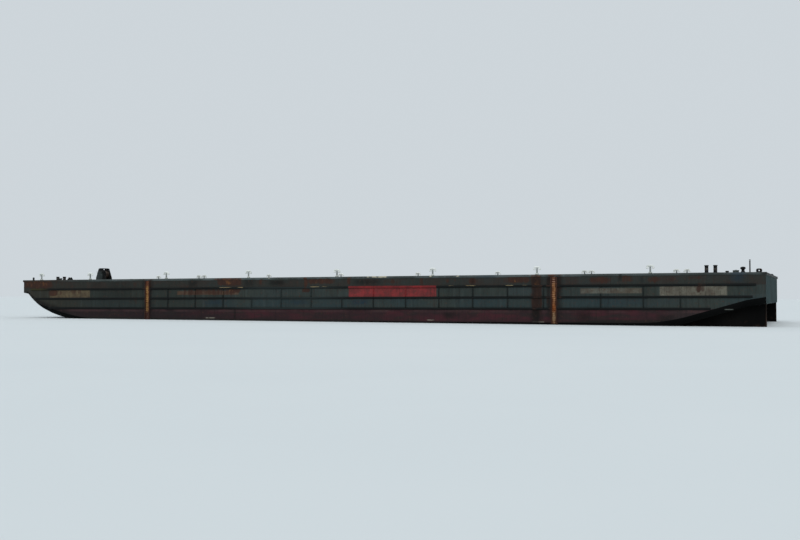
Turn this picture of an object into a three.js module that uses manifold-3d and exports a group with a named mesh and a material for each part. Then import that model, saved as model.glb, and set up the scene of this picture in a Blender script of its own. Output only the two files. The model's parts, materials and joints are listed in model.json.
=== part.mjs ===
// A flat-top steel cargo barge, as a 1:10 scale model, in millimetres.
// +X points to the bow, +Y to port, +Z up. The origin is on the keel, midway along and across.
import * as THREE from 'three';
import { mergeVertices } from 'three/addons/utils/BufferGeometryUtils.js';
import Module from 'manifold-3d';

const wasm = await Module();
wasm.setup();

// One metre of the real barge is 100 mm here.
const m = 100;
const deg = Math.PI / 180;

// Main dimensions of the hull
const length = 121.92 * m;
const beam = 36.58 * m;
const depth = 7.62 * m;
const bow = length / 2;
const stern = -length / 2;
const side = beam / 2;

// Welded pieces that only touch keep this gap, and moving ones the wider one.
const gap = 0.3;
const clearance = 5;

// The bow rake rises from its foot on a long shallow arc, turns up on a tight one, and runs straight
// to the flat underside of the headlog.
const bowFoot = 42.75 * m;
const bowRadius = 41.2 * m;
const bowFootAngle = 17.2 * deg;
const bowTurnRadius = 9.5 * m;
const bowAngle = 43.9 * deg;
const bowRakeEnd = 60.0 * m;
const headlogBottom = 5.48 * m;

// The stern rake is flatter, and flatter again over the last stretch before the transom.
const sternFoot = -44.3 * m;
const sternRadius = 25 * m;
const sternAngle = 16.2 * deg;
const sternKnuckle = -58.5 * m;
const transomBottom = 3.5 * m;

// The turn of the bilge, which narrows along the bow rake
const bilge = 0.9 * m;
const bilgeEnd = 59.3 * m;
const bilgeFade = 0.27;
const bilgeLeast = 0.06 * m;
const bilgeSteps = 4;

// Rubbing bars on each side, short uprights between them, and posts beside the ladders
const barHeights = [6.02 * m, 4.43 * m, 2.83 * m];
const barBowEnds = [59.4 * m, 58.45 * m, 55.6 * m];
const barSternEnds = [-59.75 * m, -59.3 * m, -54.0 * m];
const barHeight = 0.32 * m;
const barFace = 0.2 * m;
const barDepth = 0.18 * m;
const uprightWidth = 0.16 * m;
const uprightDepth = 0.13 * m;
const ladderStations = [35.25 * m, -32.85 * m];
const ladderBay = 0.62 * m;

// Uprights stand at an even pitch between the ladders, wider apart aft, and none forward. Two of them
// stand only between the lower two bars.
const uprightForward = 31.3 * m;
const uprightPitch = 5.22 * m;
const uprightCount = 13;
const uprightsAft = [-39.4 * m, -45.2 * m, -50.1 * m];
const uprightsLowOnly = [3, 6];
const postWidth = 0.14 * m;
const postBottom = 0.75 * m;

// Behind a ladder each bar is cut back to a thin strip, and the ladder's back plate lies over it.
const barStrip = 0.02 * m;
const backPlate = 0.04 * m;

// Gunwale bars along the deck edge
const gunwaleHeight = 0.36 * m;
const gunwaleDepth = 0.12 * m;
const gunwaleRise = 0.04 * m;
const postTop = depth - gunwaleHeight + gunwaleRise - gap;

// The clear working deck between the rows of air pipes, and the lower edge of the plates behind the
// gunwale bars. Both are seams of the hull's plating.
const workingDeckHalf = 15 * m;
const sheerSeam = 7.2 * m;

// Ladders
const rungPitch = 0.3 * m;
const rungThickness = 0.05 * m;
const rungStandOff = 0.13 * m;

const material = (color, roughness, metalness) =>
  new THREE.MeshStandardMaterial({ color, roughness, metalness });

const paints = {
  hull: material(0x39443f, 0.8, 0.2),
  antifouling: material(0x55262a, 0.85, 0.1),
  gunwale: material(0x6f7873, 0.75, 0.2),
  fender: material(0x2b3432, 0.8, 0.2),
  ladder: material(0x9a5b24, 0.9, 0.2),
  white: material(0xc9cdc8, 0.6, 0.1),
  black: material(0x1c2022, 0.7, 0.3),
  lid: material(0x4d5550, 0.75, 0.2),
  steel: material(0x565a5b, 0.55, 0.7),
};

// Solids and booleans
function solid(geometry) {
  const bare = geometry.clone();
  bare.deleteAttribute('normal');
  bare.deleteAttribute('uv');
  const merged = mergeVertices(bare, 1e-3);
  const vertProperties = new Float32Array(merged.attributes.position.array);
  const triVerts = new Uint32Array(merged.index.array);
  return new wasm.Manifold(new wasm.Mesh({ numProp: 3, vertProperties, triVerts }));
}

function surface(body) {
  const mesh = body.getMesh();
  const geometry = new THREE.BufferGeometry();
  geometry.setAttribute('position', new THREE.BufferAttribute(mesh.vertProperties, 3));
  geometry.setIndex(new THREE.BufferAttribute(mesh.triVerts, 1));
  geometry.computeVertexNormals();
  return geometry;
}

function join(geometries) {
  return surface(geometries.map(solid).reduce((whole, piece) => whole.add(piece)));
}

function cut(geometry, tools) {
  return surface(tools.map(solid).reduce((whole, tool) => whole.subtract(tool), solid(geometry)));
}

// Shapes that many pieces use
function block(x0, x1, y0, y1, z0, z1) {
  const box = new THREE.BoxGeometry(x1 - x0, y1 - y0, z1 - z0);
  return box.translate((x0 + x1) / 2, (y0 + y1) / 2, (z0 + z1) / 2);
}

function outline(points) {
  return new THREE.Shape(points.map(([u, v]) => new THREE.Vector2(u, v)));
}

// A side view in X and Z, extruded across from y0 to y1
function extrudeAcross(shape, y0, y1) {
  const geometry = new THREE.ExtrudeGeometry(shape, { depth: y1 - y0, bevelEnabled: false, curveSegments: 8 });
  return geometry.rotateX(Math.PI / 2).translate(0, y1, 0);
}

// A section in Y and Z, extruded along from x0 to x1
function extrudeAlong(shape, x0, x1) {
  const geometry = new THREE.ExtrudeGeometry(shape, { depth: x1 - x0, bevelEnabled: false, curveSegments: 6 });
  const turn = new THREE.Matrix4().makeBasis(
    new THREE.Vector3(0, 1, 0), new THREE.Vector3(0, 0, 1), new THREE.Vector3(1, 0, 0));
  return geometry.applyMatrix4(turn).translate(x0, 0, 0);
}

// A turned piece on an upright axis, from [radius, height] points
function turned(points, segments) {
  const lathe = new THREE.LatheGeometry(points.map(([r, z]) => new THREE.Vector2(r, z)), segments);
  return lathe.rotateX(Math.PI / 2);
}

const barge = new THREE.Group();

function place(name, geometry, paint, x = 0, y = 0, z = 0, turn = 0) {
  const mesh = new THREE.Mesh(geometry, paint);
  mesh.name = name;
  mesh.position.set(x, y, z);
  mesh.rotation.z = turn;
  barge.add(mesh);
  return mesh;
}

const sides = [['port', 1], ['starboard', -1]];

// Stations of the bottom line as [x, height of the bottom]: an arc that carries on from a station,
// between two slopes, with direction 1 towards the bow and -1 towards the stern
function arcStations([fromX, fromZ], radius, fromAngle, toAngle, direction, steps) {
  const stations = [];
  for (let i = 0; i <= steps; i += 1) {
    const a = fromAngle + (toAngle - fromAngle) * i / steps;
    stations.push([
      fromX + direction * radius * (Math.sin(a) - Math.sin(fromAngle)),
      fromZ + radius * (Math.cos(fromAngle) - Math.cos(a))]);
  }
  return stations;
}

function riseTo(stations, x, angle) {
  const [fromX, fromZ] = stations[stations.length - 1];
  return [x, fromZ + Math.abs(x - fromX) * Math.tan(angle)];
}

const sternStations = arcStations([sternFoot, 0], sternRadius, 0, sternAngle, -1, 5);
sternStations.push(riseTo(sternStations, sternKnuckle, sternAngle));
sternStations.push([stern, transomBottom]);

const bowStations = arcStations([bowFoot, 0], bowRadius, 0, bowFootAngle, 1, 6);
const bowTurn = arcStations(bowStations[bowStations.length - 1], bowTurnRadius, bowFootAngle, bowAngle, 1, 5);
bowStations.push(...bowTurn.slice(1));
bowStations.push(riseTo(bowStations, bowRakeEnd, bowAngle));
bowStations.push([bow, headlogBottom]);

const bottomLine = [...sternStations.slice().reverse(), ...bowStations];

// Height of the bottom at any x, between the stations
function bottomAt(x) {
  const i = Math.max(1, bottomLine.findIndex(([sx]) => sx >= x));
  const [x0, z0] = bottomLine[i - 1];
  const [x1, z1] = bottomLine[i];
  return z0 + (z1 - z0) * (x - x0) / (x1 - x0);
}

// Hull: one solid, lofted through the sections at the stations
function bilgeAt(x) {
  return Math.min(bilge, Math.max(bilgeLeast, (bilgeEnd - x) * bilgeFade));
}

function hullSection([x, bottom]) {
  const r = bilgeAt(x);
  const port = [[workingDeckHalf, depth], [side, depth], [side, sheerSeam]];
  for (let i = 0; i <= bilgeSteps; i += 1) {
    const a = 90 * deg * i / bilgeSteps;
    port.push([side - r + r * Math.cos(a), bottom + r - r * Math.sin(a)]);
  }
  const starboard = port.slice().reverse().map(([y, z]) => [-y, z]);
  return [...port, ...starboard].map(([y, z]) => [x, y, z]);
}

function hullSolid() {
  const rings = bottomLine.map(hullSection);
  const count = rings[0].length;
  const index = [];
  for (let i = 0; i < rings.length - 1; i += 1) {
    for (let j = 0; j < count; j += 1) {
      const k = (j + 1) % count;
      const [a, b, c, d] = [i * count + j, i * count + k, (i + 1) * count + k, (i + 1) * count + j];
      index.push(a, c, b, a, d, c);
    }
  }
  // The end faces fan out from the port end of the seam, so that no triangle crosses the seam.
  const last = (rings.length - 1) * count;
  const seam = 2;
  for (let j = 1; j < count - 1; j += 1) {
    const [a, b] = [(seam + j) % count, (seam + j + 1) % count];
    index.push(seam, a, b);
    index.push(last + seam, last + b, last + a);
  }
  const geometry = new THREE.BufferGeometry();
  geometry.setAttribute('position', new THREE.Float32BufferAttribute(rings.flat(2), 3));
  geometry.setIndex(index);
  return surface(solid(geometry));
}

// Uprights: short flat bars welded to the side between two rubbing bars, with columns
// [x, height of the bar below, height of the bar above]
function uprightTable() {
  const [upper, middle, lower] = barHeights;
  const rows = [];
  for (let i = 0; i < uprightCount; i += 1) {
    const x = uprightForward - i * uprightPitch;
    rows.push([x, lower, middle]);
    if (!uprightsLowOnly.includes(i)) {
      rows.push([x, middle, upper]);
    }
  }
  for (const x of uprightsAft) {
    rows.push([x, lower, middle], [x, middle, upper]);
  }
  return rows;
}

function hullWithUprights() {
  const reach = barHeight / 2 + gap;
  const uprights = uprightTable().flatMap(([x, low, high]) => [-1, 1].map((s) => {
    const [inner, outer] = [s * (side - 1), s * (side + uprightDepth)];
    return block(x - uprightWidth / 2, x + uprightWidth / 2, Math.min(inner, outer), Math.max(inner, outer),
      low + reach, high - reach);
  }));
  return join([hullSolid(), ...uprights]);
}

place('hull', hullWithUprights(), paints.hull);

// Skegs: two deep fins under the stern rake, each with a flat shoe along its foot
const skegOffset = 15.9 * m;
const skegThickness = 0.45 * m;
const skegFront = -48.9 * m;
const skegBack = -60.9 * m;
const skegFoot = 0.06 * m;
const shoeWidth = 0.8 * m;
const shoeHeight = 0.09 * m;

function skegSolid() {
  const top = sternStations.filter(([x]) => x < skegFront && x > skegBack);
  const line = [
    [skegFront, bottomAt(skegFront) - gap],
    ...top.map(([x, z]) => [x, z - gap]),
    [skegBack, bottomAt(skegBack) - gap],
    [skegBack, skegFoot],
    [skegFront - 1.6 * m, skegFoot],
  ];
  const half = skegThickness / 2;
  const blade = extrudeAcross(outline(line), -half, half);
  const shoe = block(skegBack, skegFront - 1.7 * m, -shoeWidth / 2, shoeWidth / 2, skegFoot, skegFoot + shoeHeight);
  const post = block(skegBack, skegBack + 0.12 * m, -0.36 * m, 0.36 * m, skegFoot, bottomAt(skegBack) - 0.05 * m);
  return join([blade, shoe, post]);
}

for (const [name, s] of sides) {
  place(`skeg_${name}`, skegSolid(), paints.antifouling, 0, s * skegOffset);
}

// Gunwale bars: rounded outside, a little above the deck, mitred by the end bars
const gunwaleEnd = bow + gunwaleDepth;

function gunwaleSection() {
  const low = depth - gunwaleHeight + gunwaleRise;
  const high = depth + gunwaleRise;
  const out = gunwaleDepth;
  const shape = new THREE.Shape();
  shape.moveTo(gap, low);
  shape.lineTo(out * 0.5, low);
  shape.quadraticCurveTo(out, low, out, low + out * 0.7);
  shape.lineTo(out, high - out * 0.7);
  shape.quadraticCurveTo(out, high, out * 0.4, high);
  shape.lineTo(gap, high);
  return shape;
}

for (const [name, s] of sides) {
  const bar = extrudeAlong(gunwaleSection(), -gunwaleEnd, gunwaleEnd);
  place(`gunwale_${name}`, bar, paints.gunwale, 0, s * side, 0, s > 0 ? 0 : Math.PI);
}

for (const [name, x, turn] of [['bow', bow, -90 * deg], ['stern', stern, 90 * deg]]) {
  const bar = extrudeAlong(gunwaleSection(), -side + gap, side - gap);
  place(`gunwale_${name}`, bar, paints.gunwale, x, 0, 0, turn);
}

// Rubbing bars, built for port with the hull side at y = 0
const bayHalf = ladderBay / 2 + postWidth + gap;

function barSolid(x0, x1, z) {
  const shape = outline([
    [gap, z - barHeight / 2], [barDepth, z - barFace / 2], [barDepth, z + barFace / 2], [gap, z + barHeight / 2]]);
  const bays = ladderStations.map((x) => block(x - bayHalf, x + bayHalf, barStrip, m, 0, depth));
  return cut(extrudeAlong(shape, x0, x1), bays);
}

// The other hand of a piece, with its faces turned to point outwards again
function mirrored(geometry) {
  geometry.scale(1, -1, 1);
  const order = geometry.index.array;
  for (let i = 0; i < order.length; i += 3) {
    [order[i], order[i + 1]] = [order[i + 1], order[i]];
  }
  geometry.computeVertexNormals();
  return geometry;
}

for (const [name, s] of sides) {
  ['upper', 'middle', 'lower'].forEach((level, i) => {
    const bar = barSolid(barSternEnds[i], barBowEnds[i], barHeights[i]);
    place(`rubbing_bar_${name}_${level}`, s > 0 ? bar : mirrored(bar), paints.fender, 0, s * side);
  });
}

// Ladders: rungs between two posts, on a back plate
function ladderSolid() {
  const half = ladderBay / 2;
  const near = barStrip + gap;
  const pieces = [block(-half - 1, half + 1, near, backPlate, postBottom, postTop)];
  for (const s of [-1, 1]) {
    const [inner, outer] = [s * half, s * (half + postWidth)];
    pieces.push(block(Math.min(inner, outer), Math.max(inner, outer), near, barDepth, postBottom, postTop));
  }
  const rungs = Math.floor((postTop - postBottom) / rungPitch);
  for (let i = 0; i < rungs; i += 1) {
    const z = postBottom + rungPitch * (i + 0.6);
    pieces.push(block(-half - 1, half + 1, rungStandOff - rungThickness / 2, rungStandOff + rungThickness / 2,
      z - rungThickness / 2, z + rungThickness / 2));
  }
  return join(pieces);
}

for (const [name, s] of sides) {
  ladderStations.forEach((x, i) => {
    const end = i === 0 ? 'forward' : 'aft';
    place(`ladder_${name}_${end}`, ladderSolid(), paints.ladder, x, s * side, 0, s > 0 ? 0 : Math.PI);
  });
}

// Air pipes: a flanged stem and two arms that turn down into vent heads
const pipeOffset = 17.2 * m;
const pipeRadius = 0.12 * m;
const pipeFoot = 0.24 * m;
const armHeights = { port: 1.1 * m, starboard: 1.37 * m };
const armReach = 0.4 * m;
const armBend = 0.2 * m;
const headRadius = 0.16 * m;

function airPipe(armHeight) {
  const stem = turned([
    [0, gap], [pipeFoot, gap], [pipeFoot, 0.2 * m], [pipeRadius, 0.26 * m],
    [pipeRadius, armHeight + pipeRadius * 0.8], [0, armHeight + pipeRadius * 0.8]], 8);
  const arms = [-1, 1].flatMap((s) => {
    const bendStart = new THREE.Vector3(s * (armReach - armBend), 0, armHeight);
    const corner = new THREE.Vector3(s * armReach, 0, armHeight);
    const bendEnd = new THREE.Vector3(s * armReach, 0, armHeight - armBend);
    const path = new THREE.CurvePath();
    path.add(new THREE.LineCurve3(new THREE.Vector3(0, 0, armHeight), bendStart));
    path.add(new THREE.QuadraticBezierCurve3(bendStart, corner, bendEnd));
    const ring = new THREE.Shape();
    ring.absarc(0, 0, pipeRadius, 0, 2 * Math.PI);
    const tube = new THREE.ExtrudeGeometry(ring, { extrudePath: path, steps: 5, curveSegments: 4 });
    const mouth = armHeight - armBend - 0.2 * m;
    const head = turned([
      [0, mouth], [headRadius, mouth], [headRadius, mouth + 0.16 * m],
      [pipeRadius, mouth + 0.21 * m], [0, mouth + 0.21 * m]], 8);
    return [tube, head.translate(s * armReach, 0, 0)];
  });
  return join([stem, ...arms]);
}

const pipeStations = {
  port: [58.05, 47.7, 32.35, 16.85, 1.3, -14.35, -30.15, -46],
  starboard: [57.95, 48.3, 47.1, 32.35, 16.8, 1.15, -14.1, -29.7, -30.9, -45.2, -46.9],
};

for (const [name, s] of sides) {
  pipeStations[name].forEach((x, i) => {
    place(`air_pipe_${name}_${i + 1}`, airPipe(armHeights[name]), paints.white, x * m, s * pipeOffset, depth);
  });
}

// Double bitts: two capped posts on one base plate, low at the bow and tall at the stern
const bittRadius = 0.25 * m;
const bittCap = 0.3 * m;
const bittRows = [
  { end: 'forward', x: 54.35 * m, height: 0.62 * m, spacing: 1.4 * m },
  { end: 'aft', x: -53.92 * m, height: 1.08 * m, spacing: 1.14 * m },
];

function bittSolid(height, spacing) {
  const half = spacing / 2 + 0.45 * m;
  const plate = block(-half, half, -0.4 * m, 0.4 * m, gap, 0.08 * m);
  const posts = [-1, 1].map((s) => turned([
    [0, 0.04 * m], [bittRadius, 0.04 * m], [bittRadius, height - 0.12 * m], [bittCap, height - 0.1 * m],
    [bittCap, height - 0.03 * m], [0, height]], 12).translate(s * spacing / 2, 0, 0));
  return join([plate, ...posts]);
}

for (const [name, s] of sides) {
  for (const { end, x, height, spacing } of bittRows) {
    place(`bitts_${name}_${end}`, bittSolid(height, spacing), paints.black, x, s * 16.6 * m, depth);
  }
}

// Corner chocks: thick rounded frames around an oval hole, set across each corner
const chockWidth = 0.86 * m;
const chockHeight = 0.52 * m;
const chockThickness = 0.28 * m;
const holeWidth = 0.46 * m;
const holeHeight = 0.24 * m;

function chockSolid() {
  const half = chockWidth / 2;
  const shape = new THREE.Shape();
  shape.moveTo(-half, gap);
  shape.lineTo(half, gap);
  shape.lineTo(half, chockHeight * 0.4);
  shape.quadraticCurveTo(half * 0.95, chockHeight, half * 0.35, chockHeight);
  shape.lineTo(-half * 0.35, chockHeight);
  shape.quadraticCurveTo(-half * 0.95, chockHeight, -half, chockHeight * 0.4);
  const hole = new THREE.Path();
  hole.absellipse(0, chockHeight * 0.48, holeWidth / 2, holeHeight / 2, 0, 2 * Math.PI);
  shape.holes.push(hole);
  const frame = extrudeAcross(shape, -chockThickness / 2, chockThickness / 2);
  const foot = block(-half - 0.1 * m, half + 0.1 * m, -chockThickness * 0.62, chockThickness * 0.62, gap, 0.06 * m);
  return join([frame, foot]);
}

for (const [name, s] of sides) {
  for (const [end, e, x] of [['forward', 1, 59.5], ['aft', -1, -60.1]]) {
    const turn = -s * e * 45 * deg;
    place(`chock_${name}_${end}`, chockSolid(), paints.black, x * m, s * 17.55 * m, depth, turn);
  }
}

// Towing brackets at the bow: two cheeks with a pin across, on a base plate
function bracketSolid() {
  const plate = block(-0.8 * m, 0.8 * m, -0.5 * m, 0.5 * m, gap, 0.08 * m);
  const cheek = outline([[-0.6 * m, 0.04 * m], [0.6 * m, 0.04 * m], [0.35 * m, 0.7 * m], [-0.35 * m, 0.7 * m]]);
  const cheeks = [-1, 1].map((s) =>
    extrudeAcross(cheek, Math.min(s * 0.2, s * 0.32) * m, Math.max(s * 0.2, s * 0.32) * m));
  const pin = turned([[0, -0.4 * m], [0.1 * m, -0.4 * m], [0.1 * m, 0.4 * m], [0, 0.4 * m]], 12);
  pin.rotateX(Math.PI / 2).translate(0, 0, 0.48 * m);
  return join([plate, ...cheeks, pin]);
}

for (const [name, s] of sides) {
  place(`tow_bracket_${name}`, bracketSolid(), paints.black, 58.6 * m, s * 9.1 * m, depth);
}

// Access hatches: a square coaming with a hinged lid, the hinge on the inboard side
const hatchSize = 0.7 * m;
const coamingWall = 0.07 * m;
const coamingHeight = 0.34 * m;
const lidOverhang = 0.05 * m;
const lidThickness = 0.05 * m;
const hingeHeight = coamingHeight + lidThickness;

function coamingSolid() {
  const half = hatchSize / 2;
  const outer = block(-half, half, -half, half, gap, coamingHeight);
  const inside = half - coamingWall;
  const hollow = block(-inside, inside, -inside, inside, -m, m);
  const flange = block(-half - 0.08 * m, half + 0.08 * m, -half - 0.08 * m, half + 0.08 * m, gap, 0.03 * m);
  return cut(join([outer, flange]), [hollow]);
}

function lidSolid() {
  const half = hatchSize / 2 + lidOverhang;
  const low = coamingHeight + gap;
  const plate = block(-half, half, -half, half, low, low + lidThickness);
  const rim = block(-half + 0.12 * m, half - 0.12 * m, -half + 0.12 * m, half - 0.12 * m,
    low + lidThickness - 0.01 * m, low + lidThickness + 0.02 * m);
  const handle = block(-0.12 * m, 0.12 * m, half - 0.2 * m, half - 0.15 * m, low, low + 0.12 * m);
  const hinges = [-1, 1].map((s) => block(s * 0.25 * m - 0.06 * m, s * 0.25 * m + 0.06 * m,
    -half - 0.06 * m, -half + 0.1 * m, low, low + lidThickness + 0.04 * m));
  return join([plate, rim, handle, ...hinges]);
}

for (const [name, s] of sides) {
  for (const [end, x] of [['forward', 56.95], ['aft', -56.95]]) {
    const turn = s > 0 ? 0 : Math.PI;
    place(`hatch_${name}_${end}`, coamingSolid(), paints.hull, x * m, s * 14 * m, depth, turn);
    place(`hatch_lid_${name}_${end}`, lidSolid(), paints.lid, x * m, s * 14 * m, depth, turn);
  }
}

// Capstan on the port quarter: a flared drum with a wide cap that turns on a low base
const capstanX = -57.45 * m;
const capstanY = 8 * m;

place('capstan_base', turned([
  [0, gap], [0.42 * m, gap], [0.42 * m, 0.12 * m], [0.34 * m, 0.22 * m], [0, 0.22 * m]], 20),
paints.black, capstanX, capstanY, depth);

place('capstan_drum', turned([
  [0, 0.22 * m + clearance], [0.32 * m, 0.22 * m + clearance], [0.2 * m, 0.4 * m], [0.2 * m, 0.62 * m],
  [0.35 * m, 0.76 * m], [0.37 * m, 0.88 * m], [0.26 * m, 1.0 * m], [0, 1.04 * m]], 20),
paints.black, capstanX, capstanY, depth);

// Bridle recovery winch on the centre line at the bow
const winchX = 58.2 * m;
const drumHeight = 1.35 * m;
const flangeRadius = 1.0 * m;
const drumHalf = 0.62 * m;
const cheekInside = drumHalf + 0.12 * m + clearance;
const cheekThickness = 0.14 * m;
const shaftRadius = 0.11 * m;
const shaftClearance = 1;

function winchFrame() {
  const cheek = outline([
    [-1.1 * m, 0.2 * m], [1.1 * m, 0.2 * m], [1.1 * m, 0.7 * m], [0.5 * m, 2.4 * m],
    [-0.5 * m, 2.4 * m], [-1.1 * m, 0.7 * m]]);
  const cheeks = [-1, 1].map((s) => {
    const inner = s * cheekInside;
    const outer = s * (cheekInside + cheekThickness);
    return extrudeAcross(cheek, Math.min(inner, outer), Math.max(inner, outer));
  });
  const across = cheekInside + cheekThickness;
  const rails = [-1.0, 0.8].map((x) => block(x * m, (x + 0.2) * m, -across, across, gap, 0.24 * m));
  const skids = [-1, 1].map((s) => {
    const inner = s * (cheekInside - 0.02 * m);
    const outer = s * across;
    return block(-1.15 * m, 1.15 * m, Math.min(inner, outer), Math.max(inner, outer), gap, 0.26 * m);
  });
  const gearbox = block(-0.55 * m, 0.55 * m, across - 1, across + 0.45 * m, gap, 1.9 * m);
  const tie = block(-0.3 * m, 0.3 * m, -across, across, 2.44 * m, 2.54 * m);
  const caps = [-1, 1].map((s) => {
    const inner = s * cheekInside;
    const outer = s * across;
    return block(-0.52 * m, 0.52 * m, Math.min(inner, outer), Math.max(inner, outer), 2.38 * m, 2.5 * m);
  });
  const bore = turned([[0, -2 * m], [1, -2 * m], [1, 2 * m], [0, 2 * m]], 16);
  bore.scale(shaftRadius + shaftClearance, shaftRadius + shaftClearance, 1);
  bore.rotateX(Math.PI / 2).translate(0, -2 * m + across + 0.3 * m, drumHeight);
  return cut(join([...cheeks, ...rails, ...skids, gearbox, tie, ...caps]), [bore]);
}

function winchDrum() {
  const end = cheekInside + cheekThickness - 0.01 * m;
  const drum = turned([
    [0, -end], [shaftRadius, -end], [shaftRadius, -drumHalf - 0.12 * m], [flangeRadius, -drumHalf - 0.12 * m],
    [flangeRadius, -drumHalf], [0.72 * m, -drumHalf], [0.72 * m, drumHalf], [flangeRadius, drumHalf],
    [flangeRadius, drumHalf + 0.12 * m], [shaftRadius, drumHalf + 0.12 * m], [shaftRadius, end], [0, end]], 24);
  return drum.rotateX(Math.PI / 2);
}

place('winch_frame', winchFrame(), paints.black, winchX, 0, depth);
place('winch_drum', winchDrum(), paints.steel, winchX, 0, depth + drumHeight);

// Stern light pole
place('light_pole', turned([
  [0, gap], [0.22 * m, gap], [0.22 * m, 0.05 * m], [0.1 * m, 0.12 * m], [0.092 * m, 2.06 * m],
  [0.125 * m, 2.08 * m], [0.125 * m, 2.26 * m], [0.07 * m, 2.32 * m], [0, 2.33 * m]], 12),
paints.black, -57.9 * m, 0, depth);

export default barge;
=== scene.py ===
# %% [markdown]
# # A flat-top cargo barge, at 1:10
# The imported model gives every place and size. This lesson dresses it: each piece of the barge is
# worked out as a surface with numpy, and each finish is a small tree of shader nodes.
# All lengths are in metres of the model. `m` is one metre of the real barge.

# %% The frame
import json
import math

import bmesh
import bpy
import numpy as np
from mathutils import Matrix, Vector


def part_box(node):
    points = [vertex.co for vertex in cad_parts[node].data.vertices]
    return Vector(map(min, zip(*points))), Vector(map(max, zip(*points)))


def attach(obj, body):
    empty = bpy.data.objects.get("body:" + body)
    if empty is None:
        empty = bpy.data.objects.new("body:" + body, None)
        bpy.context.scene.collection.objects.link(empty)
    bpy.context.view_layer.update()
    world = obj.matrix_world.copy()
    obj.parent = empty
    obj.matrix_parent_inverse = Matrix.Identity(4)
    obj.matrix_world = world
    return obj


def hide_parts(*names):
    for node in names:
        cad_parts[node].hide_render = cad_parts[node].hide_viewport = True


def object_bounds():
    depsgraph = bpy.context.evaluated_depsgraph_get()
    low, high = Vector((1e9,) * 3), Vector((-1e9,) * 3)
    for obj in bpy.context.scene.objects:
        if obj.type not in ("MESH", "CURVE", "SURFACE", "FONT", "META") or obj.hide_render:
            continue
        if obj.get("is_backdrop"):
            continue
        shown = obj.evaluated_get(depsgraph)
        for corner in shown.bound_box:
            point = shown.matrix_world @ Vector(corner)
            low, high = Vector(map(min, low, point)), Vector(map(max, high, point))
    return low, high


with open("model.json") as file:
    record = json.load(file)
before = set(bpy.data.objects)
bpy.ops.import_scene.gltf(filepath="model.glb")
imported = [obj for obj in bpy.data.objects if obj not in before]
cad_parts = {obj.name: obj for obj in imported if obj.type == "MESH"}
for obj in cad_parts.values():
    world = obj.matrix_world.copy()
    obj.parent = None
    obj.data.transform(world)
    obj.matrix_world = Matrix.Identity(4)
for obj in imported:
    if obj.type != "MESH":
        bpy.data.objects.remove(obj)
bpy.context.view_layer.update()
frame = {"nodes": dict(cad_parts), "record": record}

m = 0.1
deck_level = 7.62 * m
half_beam = 18.29 * m

# %% [markdown]
# ## Camera
# A camera can be placed by eye, or worked out from straight edges of known length. This one stands
# where the sight lines of the hull's own straight edges meet: a long way off the port quarter, and
# lower than the deck. Its matrix has the right, up and backward unit vectors as its columns.

# %% Camera
camera_place = np.array((-67.63, 162.12, 4.40)) * m
camera_yaw, camera_pitch, camera_roll = 0.3836, 0.02676, -0.00283
camera_lens = 46.96


def camera_axes(yaw, pitch, roll):
    """Right, up and forward unit vectors: yaw is measured from -Y towards +X, pitch upwards."""
    forward = np.array((math.sin(yaw) * math.cos(pitch), -math.cos(yaw) * math.cos(pitch), math.sin(pitch)))
    right = np.cross(forward, (0, 0, 1))
    right /= np.linalg.norm(right)
    up = np.cross(right, forward)
    turned_right = math.cos(roll) * right + math.sin(roll) * up
    turned_up = -math.sin(roll) * right + math.cos(roll) * up
    return turned_right, turned_up, forward


camera_data = bpy.data.cameras.new("camera")
camera_data.lens = camera_lens
camera_data.sensor_width = 36
camera_data.clip_end = 500
camera = bpy.data.objects.new("camera", camera_data)
bpy.context.scene.collection.objects.link(camera)
right, up, forward = camera_axes(camera_yaw, camera_pitch, camera_roll)
axes = np.eye(4)
axes[:3, :4] = np.column_stack((right, up, -forward, camera_place))
camera.matrix_world = Matrix(axes.tolist())
bpy.context.scene.camera = camera
print("camera at", camera_place, "lens", camera_lens)

# %% [markdown]
# ## Making meshes
# A shape here is a pair: an array of points, and a list of face arrays. Nearly every shape starts as
# a grid of points with two parameters, u and v. `grid` joins neighbours into quads, and `merge` puts
# several shapes into one.

# %% Grids of points
def grid(points, close_u=False, close_v=False, caps=False):
    """Quads over points[u, v]. With close_v each row is a ring, and caps fill the first and last ring."""
    nu, nv = points.shape[:2]
    u = np.arange(nu if close_u else nu - 1)[:, None]
    v = np.arange(nv if close_v else nv - 1)[None, :]
    u1, v1 = (u + 1) % nu, (v + 1) % nv
    quads = np.stack((u * nv + v, u * nv + v1, u1 * nv + v1, u1 * nv + v), -1).reshape(-1, 4)
    faces = [quads]
    if caps:
        ring = np.arange(nv)
        faces += [ring[None, ::-1], (nu - 1) * nv + ring[None, :]]
    return points.reshape(-1, 3).astype(float), faces


def merge(*shapes):
    """One shape from several: the face numbers of each are moved up past the points before it."""
    starts = np.cumsum([0] + [len(points) for points, _ in shapes])
    points = np.concatenate([points for points, _ in shapes])
    faces = [face + start for (_, face_list), start in zip(shapes, starts) for face in face_list]
    return points, faces


def moved(shape, offset=(0, 0, 0), turn=0.0, flip=False):
    """The shape turned about Z, then moved. With flip it is first mirrored across Y."""
    points, faces = shape
    points = points * ((1, -1, 1) if flip else (1, 1, 1))
    c, s = math.cos(turn), math.sin(turn)
    return points @ np.array(((c, s, 0), (-s, c, 0), (0, 0, 1))) + np.array(offset), faces


print("a grid of 3 by 4 points has", len(grid(np.zeros((3, 4, 3)))[1][0]), "quads")

# %% [markdown]
# ### Turned and swept shapes
# Most fittings on a barge are turned on a lathe, or bent from pipe and bar. Blender's Screw modifier
# and curve bevels could make both, but two short functions keep every size in plain sight: `lathe`
# carries a profile round an axis, and `sweep` carries a section along a path.

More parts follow.
